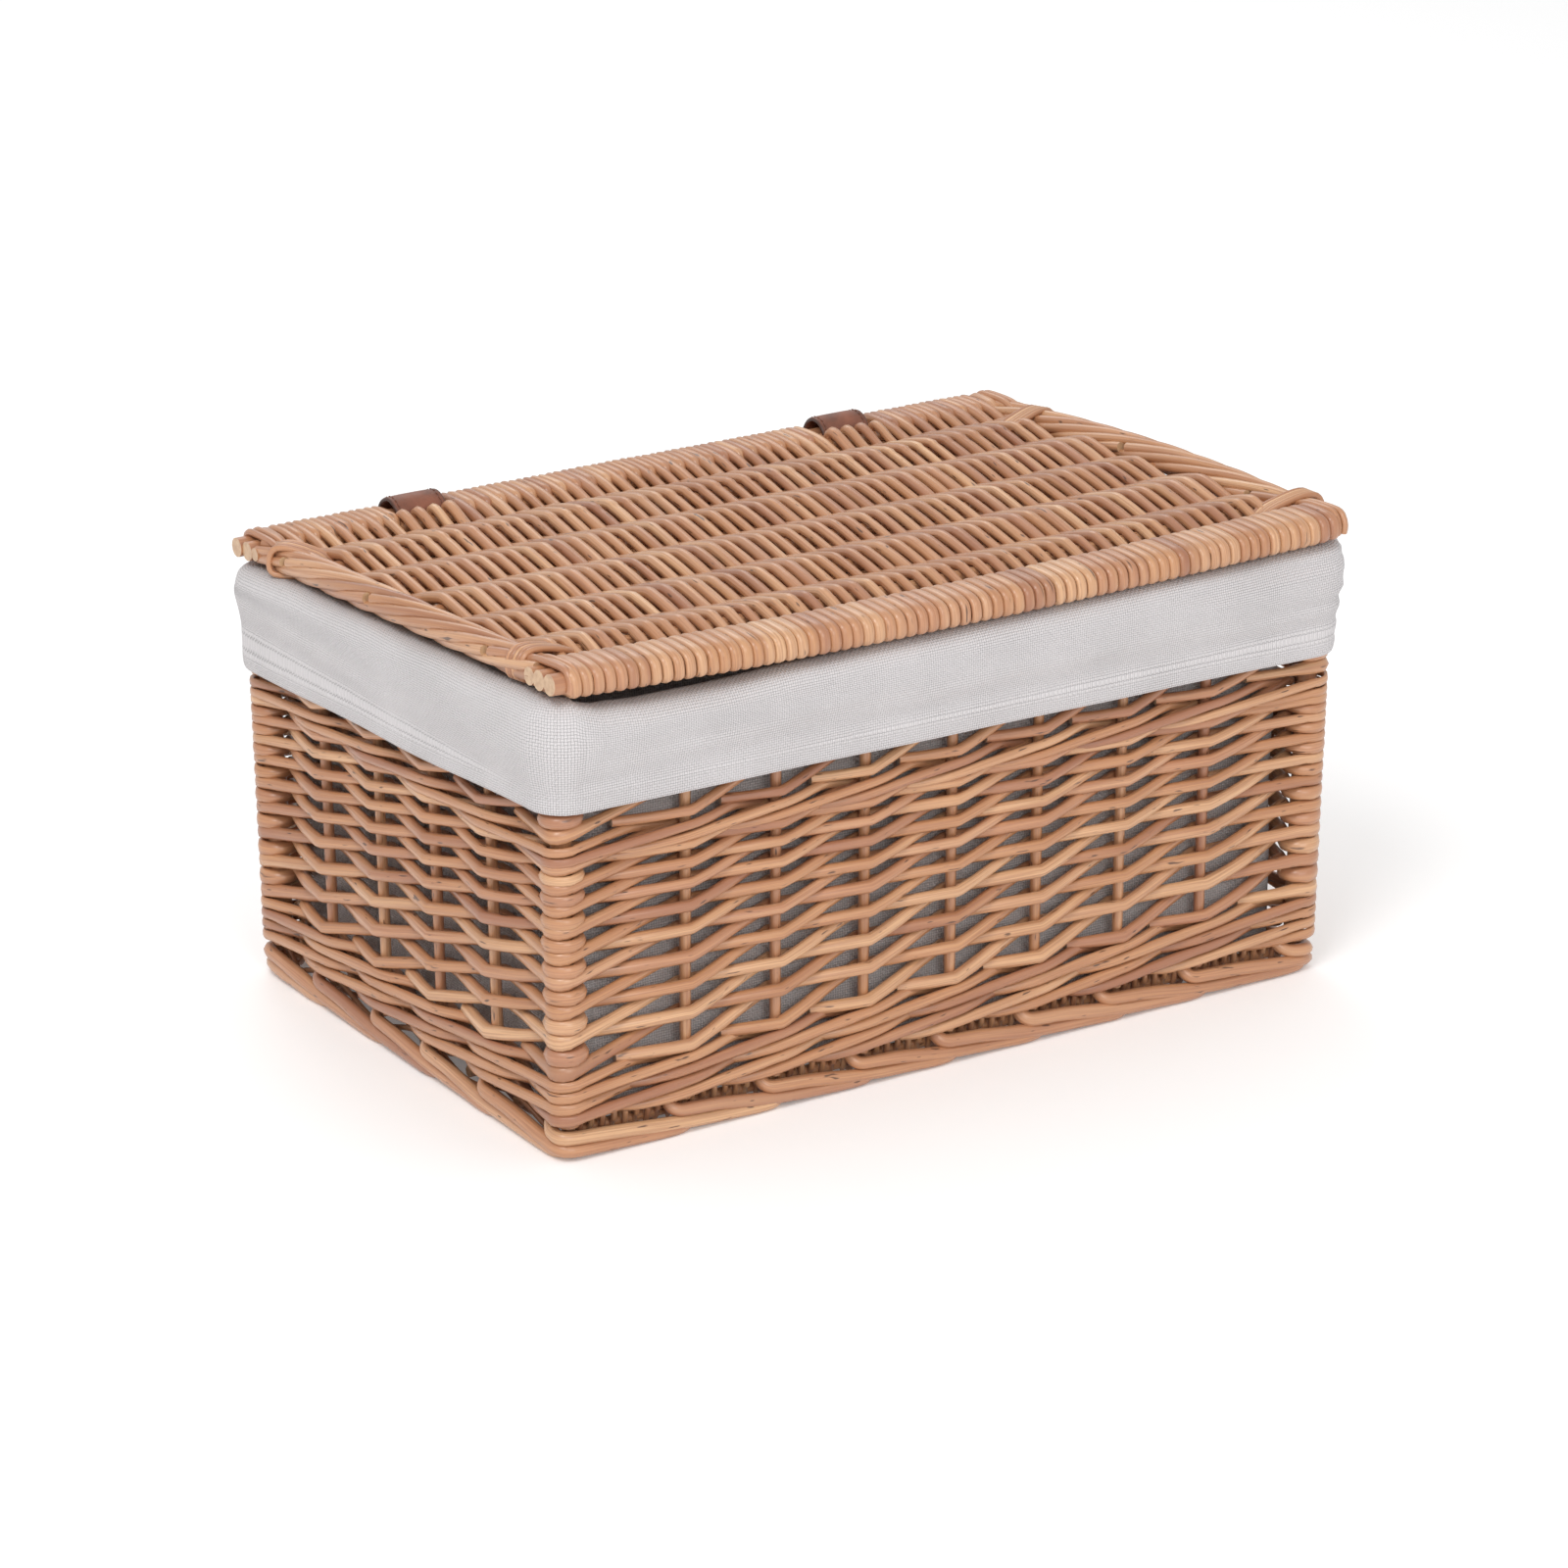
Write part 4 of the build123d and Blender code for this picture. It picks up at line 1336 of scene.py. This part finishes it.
class LinerCuff(bpy.types.Operator):
    """Fold the liner's hemmed cuff over the rim, with its corner seams and stitching"""

    bl_idname = "sewing_basket.liner_cuff"
    bl_label = "Liner Cuff"

    def execute(self, context):
        cloth = context.scene.basket_cloth
        half_slot = STRAP_WIDTH / 2 + SLOT_ROOM
        slot_edges = [x + s * half_slot for x in STRAPS.values() for s in (-1, 1)]
        stations = rim_stations(CUFF_SPACING, slot_edges)
        columns = []
        distance = 0.0
        runs = []
        for n, (side, kind, value, place) in enumerate(stations):
            middle = rim_spot(side, kind, value, 8 * MM, HINGE.z)
            if n:
                distance += (middle - before).length
            before = middle
            runs.append(distance)
            profile = curve_through(cuff_profile(place, cloth.hem), CUFF_STEPS)
            seam = min(abs(place - s) for s in SEAMS)
            pinch = math.exp(-(seam / 0.006) ** 2) * 0.8
            column = []
            for step, (outwards, z) in enumerate(profile):
                loose = min(1.0, max(0.0, (step - 5 * CUFF_STEPS) / 6)) * (1 if outwards > 0 else 0.5)
                long_fold = noise.noise(Vector((distance / 0.08, z / 8, 3.1)))
                short_fold = noise.noise(Vector((distance / 0.017, z / 5, 8.7)))
                # The cloth is looser round the front right corner
                slack = 1 + 1.6 * math.exp(-((place - 1.0) / 0.16) ** 2)
                puff = (1.3 * long_fold + 0.35 * short_fold) * loose * slack
                if 1.9 < place < 3.1:
                    puff *= 0.3
                spread = (outwards + puff - pinch * loose) * MM
                column.append(rim_spot(side, kind, value, spread, (z + 0.4 * long_fold * loose) * MM))
            columns.append(column)
        rows = [list(row) for row in zip(*columns)]
        lengths = [0.0]
        for a, b in zip(columns[0], columns[0][1:]):
            lengths.append(lengths[-1] + (b - a).length)
        runs.append(distance + CUFF_SPACING)

        def keep(row, column):
            side, kind, _, _ = stations[column]
            if side != 2 or kind != "run":
                return True
            here = rows[row][column]
            after = rows[row][(column + 1) % len(stations)]
            x = (here.x + after.x) / 2
            inside_slot = any(abs(x - place) < half_slot for place in STRAPS.values())
            on_hem = row < 8 * CUFF_STEPS and here.z < SLOT_BOTTOM
            return not inside_slot or on_hem

        mesh = cloth_mesh("liner_cuff", rows, lambda r, c: (runs[c], lengths[r]), True, keep)
        clean(mesh, False)
        piece = bpy.data.objects.new("liner_cuff", mesh)
        context.scene.collection.objects.link(piece)
        thicken(piece, cloth.cloth)
        settle(piece, "basket", ["liner_cuff_" + s for s in SIDE_NAMES])
        stitching = self.sew(context, stations, rows, cloth)
        return {"FINISHED"}

    def sew(self, context, stations, rows, cloth):
        """Stitch the hem and one line beside each corner seam."""
        lines = Lines()
        lift = cloth.cloth / 2 - cloth.thread * 0.15
        hem_row = rows[6 * CUFF_STEPS]
        hem_line = [self.lifted(stations[k], hem_row[k], lift) for k in range(len(stations))]
        lines.add(hem_line + hem_line[:1], cloth.thread)
        for seam in SEAMS:
            column = min(range(len(stations)), key=lambda k: abs(stations[k][3] - seam)) + 2
            station = stations[column % len(stations)]
            spots = [row[column % len(stations)] for row in rows[4 * CUFF_STEPS:12 * CUFF_STEPS]]
            lines.add([self.lifted(station, p, lift) for p in spots], cloth.thread)
        values = {"Spacing": cloth.stitch_spacing, "Length": cloth.stitch_length,
                  "Thickness": cloth.thread, "Material": finish("thread")}
        return grow("cuff_stitches", lines, shared_tree("stitches"), values, "basket")

    def lifted(self, station, point, lift):
        side, kind, value, _ = station
        angle = value if kind == "turn" else 0.0
        return point + (OUTWARD[side] * math.cos(angle) + ALONG[side] * math.sin(angle)) * lift


def thicken(piece, thickness):
    """Give a sheet its thickness on both sides of its middle."""
    wall = piece.modifiers.new("cloth", "SOLIDIFY")
    wall.thickness = thickness
    wall.offset = 0
    context = bpy.context
    graph = context.evaluated_depsgraph_get()
    made = bpy.data.meshes.new_from_object(piece.evaluated_get(graph), preserve_all_data_layers=True,
                                           depsgraph=graph)
    piece.modifiers.clear()
    piece.data = made


class LinerBag(bpy.types.Operator):
    """Hang the liner's four sides and floor inside the basket"""

    bl_idname = "sewing_basket.liner_bag"
    bl_label = "Liner Bag"

    def execute(self, context):
        cloth = context.scene.basket_cloth
        floor_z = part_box("liner_floor")[0].z + cloth.cloth
        inset = 15.3 * MM
        top = 179 * MM
        down = 26
        inward = 14
        stations = rim_stations(7 * MM)
        rows = []
        heights = []
        for r in range(down + inward):
            shrink = 1.0 if r < down else 1 - (r - down + 1) / inward * 0.97
            t = min(1.0, r / (down - 1))
            z = mix(top, floor_z, t)
            row = []
            for n, (side, kind, value, _) in enumerate(stations):
                size = Vector((out(1, z) - inset, out(0, z) - inset, 0))
                corner = 12 * MM
                along_axis = side % 2
                half_along = size[along_axis]
                half_across = size[1 - along_axis]
                if kind == "run":
                    spot = ALONG[side] * (value * (half_along - corner)) + OUTWARD[side] * half_across
                else:
                    spot = ALONG[side] * (half_along - corner) + OUTWARD[side] * (half_across - corner)
                    spot += (OUTWARD[side] * math.cos(value) + ALONG[side] * math.sin(value)) * corner
                hang = n / len(stations)
                ripple = noise.noise(Vector((hang * 34, z * 22, 1.7))) + 0.4 * noise.noise(
                    Vector((hang * 90, z * 60, 4.2)))
                slack = math.sin(math.pi * t) * 2.4 * MM if r < down else 0.0
                push = (0.6 + ripple * 0.5) * slack
                normal = OUTWARD[side] if kind == "run" else spot.normalized()
                spot = spot - normal * push
                spot = spot * shrink + UP * z
                if r >= down:
                    lump = noise.noise(Vector((spot.x * 26, spot.y * 26, 0.5)))
                    spot.z += max(0.0, lump) * 1.6 * MM
                row.append(spot)
            rows.append(row)
            heights.append(top - z if r < down else top - floor_z + (1 - shrink) * 0.15)
        perimeter = 1.24
        # The bag is drawn in the lining colour: the canvas with painted shade, darker and warmer than the
        # cuff
        mesh = cloth_mesh("liner_bag", rows,
                          lambda r, c: (perimeter * c / len(stations), heights[r]), True, cloth="lining")
        self.fill_middle(mesh, rows)
        piece = bpy.data.objects.new("liner_bag", mesh)
        context.scene.collection.objects.link(piece)
        thicken(piece, cloth.cloth)
        settle(piece, "basket", ["liner_floor"] + ["liner_side_" + s for s in SIDE_NAMES])
        return {"FINISHED"}

    def fill_middle(self, mesh, rows):
        work = bmesh.new()
        work.from_mesh(mesh)
        work.verts.ensure_lookup_table()
        first = (len(rows) - 1) * len(rows[0])
        ring = [work.verts[first + c] for c in range(len(rows[0]))]
        middle = work.verts.new(Vector((0, 0, rows[-1][0].z)))
        layer = work.loops.layers.uv["cloth"]
        for a, b in zip(ring, ring[1:] + ring[:1]):
            face = work.faces.new((middle, b, a))
            face.smooth = True
            for loop in face.loops:
                loop[layer].uv = (loop.vert.co.x, loop.vert.co.y)
        bmesh.ops.recalc_face_normals(work, faces=work.faces)
        work.to_mesh(mesh)
        work.free()


# Straps

def strap_path():
    """The strap's middle line in the lid's section: under the rim, up, and over the back sticks, in mm."""
    points = [(8.4 * math.cos(math.radians(a)), 8.4 * math.sin(math.radians(a))) for a in range(0, -181, -15)]
    points += [(-8.4, 3.5), (-8.0, 7.5), (-7.4, 12.0), (-7.0, 16.0)]
    points += [(2.4 - 9.3 * math.cos(math.radians(a)), 18.9 + 9.0 * math.sin(math.radians(a)))
               for a in range(5, 180, 17)]
    points += [(11.6, 15.5), (11.3, 11.0), (10.4, 6.5), (9.2, 3.0)]
    return points


def strap_section(width, thickness):
    """Points round the strap's section from its middle line: (across, out, edge share)."""
    half = width / 2
    groove = half - 2.6 * MM
    across = [-half + 0.5 * MM, -groove - 0.9 * MM, -groove, -groove + 0.9 * MM, -half / 3, half / 3,
              groove - 0.9 * MM, groove, groove + 0.9 * MM, half - 0.5 * MM]
    dips = [0.25, 0.0, 0.35, 0.0, -0.06, -0.06, 0.0, 0.35, 0.0, 0.25]
    edge = [0.9, 0.45, 0.75, 0.2, 0.0, 0.0, 0.2, 0.75, 0.45, 0.9]
    face = [(x, thickness / 2 - dip * MM, e) for x, dip, e in zip(across, dips, edge)]
    back = [(x, -thickness / 2 + 0.2 * dip * MM, e) for x, dip, e in zip(across, dips, edge)]
    return face + [(half, 0.0, 1.0)] + back[::-1] + [(-half, 0.0, 1.0)]


class Straps(bpy.types.Operator):
    """Bend the leather straps round the rim and the lid's back sticks, and stitch their edges"""

    bl_idname = "sewing_basket.straps"
    bl_label = "Hinge Straps"

    def execute(self, context):
        cloth = context.scene.basket_cloth
        path = strap_path()
        section = strap_section(STRAP_WIDTH, 2.1 * MM)
        count = len(path)
        for name, centre in STRAPS.items():
            rings = []
            seams = Lines()
            stitched = [[], []]
            for k in range(count):
                y, w = path[k]
                before, after = path[k - 1], path[(k + 1) % count]
                run = Vector((after[0] - before[0], after[1] - before[1])).normalized()
                outward = Vector((-run.y, run.x))
                sway = noise.noise(Vector((k * 0.35, centre * 40, 2.0))) * 0.5 * MM
                ring = []
                for across, lift, _ in section:
                    spot = Vector((y * MM, w * MM)) + outward * lift
                    ring.append(self.place(centre + across + sway, spot))
                rings.append(ring)
                if w > 9:
                    for edge, sign in enumerate((-1, 1)):
                        spot = Vector((y * MM, w * MM)) + outward * (1.0 * MM)
                        stitched[edge].append(self.place(
                            centre + sway + sign * (STRAP_WIDTH / 2 - 2.6 * MM), spot))
            piece = self.solid("strap_" + name, rings, section)
            settle(piece, "lid", ["hinge_strap_" + name])
            for line in stitched:
                seams.add(line, cloth.thread)
            values = {"Spacing": 3.0 * MM, "Length": 2.2 * MM, "Thickness": 0.55 * MM,
                      "Material": finish("leather")}
            grow("strap_stitches_" + name, seams, shared_tree("stitches"), values, "lid")
        return {"FINISHED"}

    def place(self, x, spot):
        flat = Vector((
            x,
            HINGE.y + spot.x * math.cos(LID_TILT) + spot.y * math.sin(LID_TILT),
            HINGE.z - spot.x * math.sin(LID_TILT) + spot.y * math.cos(LID_TILT),
        ))
        return flat

    def solid(self, name, rings, section):
        """A closed ring of leather, with a share that says how near its edge each point is."""
        around = len(section)
        work = bmesh.new()
        share = work.verts.layers.float.new("edge")
        verts = []
        for ring in rings:
            row = []
            for point, (_, _, edge) in zip(ring, section):
                vert = work.verts.new(point)
                vert[share] = edge
                row.append(vert)
            verts.append(row)
        for k in range(len(rings)):
            here, after = verts[k], verts[(k + 1) % len(rings)]
            for c in range(around):
                d = (c + 1) % around
                work.faces.new((here[c], here[d], after[d], after[c])).smooth = True
        bmesh.ops.recalc_face_normals(work, faces=work.faces)
        mesh = bpy.data.meshes.new(name)
        work.to_mesh(mesh)
        work.free()
        mesh.materials.append(finish("leather"))
        piece = bpy.data.objects.new(name, mesh)
        bpy.context.scene.collection.objects.link(piece)
        soften = piece.modifiers.new("soften", "SUBSURF")
        soften.levels = 1
        soften.render_levels = 1
        return piece


# Studio

class Stage(bpy.types.Operator):
    """Set out the floor, the soft lights and the camera"""

    bl_idname = "sewing_basket.stage"
    bl_label = "Stage"

    def execute(self, context):
        scene = context.scene
        half = 4.0
        mesh = bpy.data.meshes.new("floor")
        mesh.from_pydata([(-half, -half, 0), (half, -half, 0), (half, half, 0), (-half, half, 0)], [],
                         [(0, 1, 2, 3)])
        mesh.materials.append(finish("floor"))
        floor = bpy.data.objects.new("floor", mesh)
        scene.collection.objects.link(floor)
        world = bpy.data.worlds.new("studio")
        world.use_nodes = True
        world.node_tree.nodes["Background"].inputs["Color"].default_value = (1.0, 1.0, 1.0, 1)
        world.node_tree.nodes["Background"].inputs["Strength"].default_value = 0.76
        scene.world = world
        scene.view_settings.view_transform = "Standard"
        self.light(scene, "key_light", (-1.5, -1.1, 2.3), 1.1, 26)
        self.light(scene, "fill_light", (-0.6, -2.6, 1.3), 1.3, 17)
        self.light(scene, "back_light", (0.6, 2.0, 2.0), 1.4, 10)
        data = bpy.data.cameras.new("camera")
        data.lens = 130.7
        data.sensor_width = 36.0
        data.clip_end = 50.0
        camera = bpy.data.objects.new("camera", data)
        scene.collection.objects.link(camera)
        camera.location = (-1.3279, -2.0129, 0.9763)
        forward = Vector((0.5161, 0.7840, -0.3450))
        camera.rotation_mode = "QUATERNION"
        camera.rotation_quaternion = forward.to_track_quat("-Z", "Y")
        scene.camera = camera
        return {"FINISHED"}

    def light(self, scene, name, place, size, power):
        data = bpy.data.lights.new(name, "AREA")
        data.shape = "DISK"
        data.size = size
        data.energy = power
        lamp = bpy.data.objects.new(name, data)
        scene.collection.objects.link(lamp)
        lamp.location = place
        lamp.rotation_mode = "QUATERNION"
        lamp.rotation_quaternion = (Vector((0, 0, 0.1)) - Vector(place)).to_track_quat("-Z", "Y")


PIECES = (Uprights, SideWeave, Wales, RimWeave, FootBorder, Base, TopBorder, LidSticks, LidWeave, LidEdges,
          LidEnds, LinerBag, LinerCuff, Straps)


class BasketPanel(bpy.types.Panel):
    """Sizes, colours and pieces of the sewing basket"""

    bl_idname = "VIEW3D_PT_sewing_basket"
    bl_label = "Sewing Basket"
    bl_space_type = "VIEW_3D"
    bl_region_type = "UI"
    bl_category = "Sewing Basket"

    def draw(self, context):
        layout = self.layout
        for title, group in (("Walls", "basket_walls"), ("Lid", "basket_lid"), ("Cloth", "basket_cloth"),
                             ("Finishes", "basket_finishes")):
            box = layout.box()
            box.label(text=title)
            settings = getattr(context.scene, group)
            for name in settings.__annotations__:
                box.prop(settings, name)
        for piece in (Stage, *PIECES):
            layout.operator(piece.bl_idname)


GROUPS = {
    "basket_walls": WallSizes, "basket_lid": LidSizes, "basket_cloth": ClothSizes,
    "basket_finishes": Finishes,
}
CLASSES = (*GROUPS.values(), Stage, *PIECES, BasketPanel)


def register():
    for each in CLASSES:
        bpy.utils.register_class(each)
    for name, group in GROUPS.items():
        setattr(bpy.types.Scene, name, bpy.props.PointerProperty(type=group))


def unregister():
    for name in GROUPS:
        delattr(bpy.types.Scene, name)
    for each in reversed(CLASSES):
        bpy.utils.unregister_class(each)


def main():
    register()
    for piece in (Stage, *PIECES):
        area, name = piece.bl_idname.split(".")
        getattr(getattr(bpy.ops, area), name)()


if __name__ == "__main__":
    main()
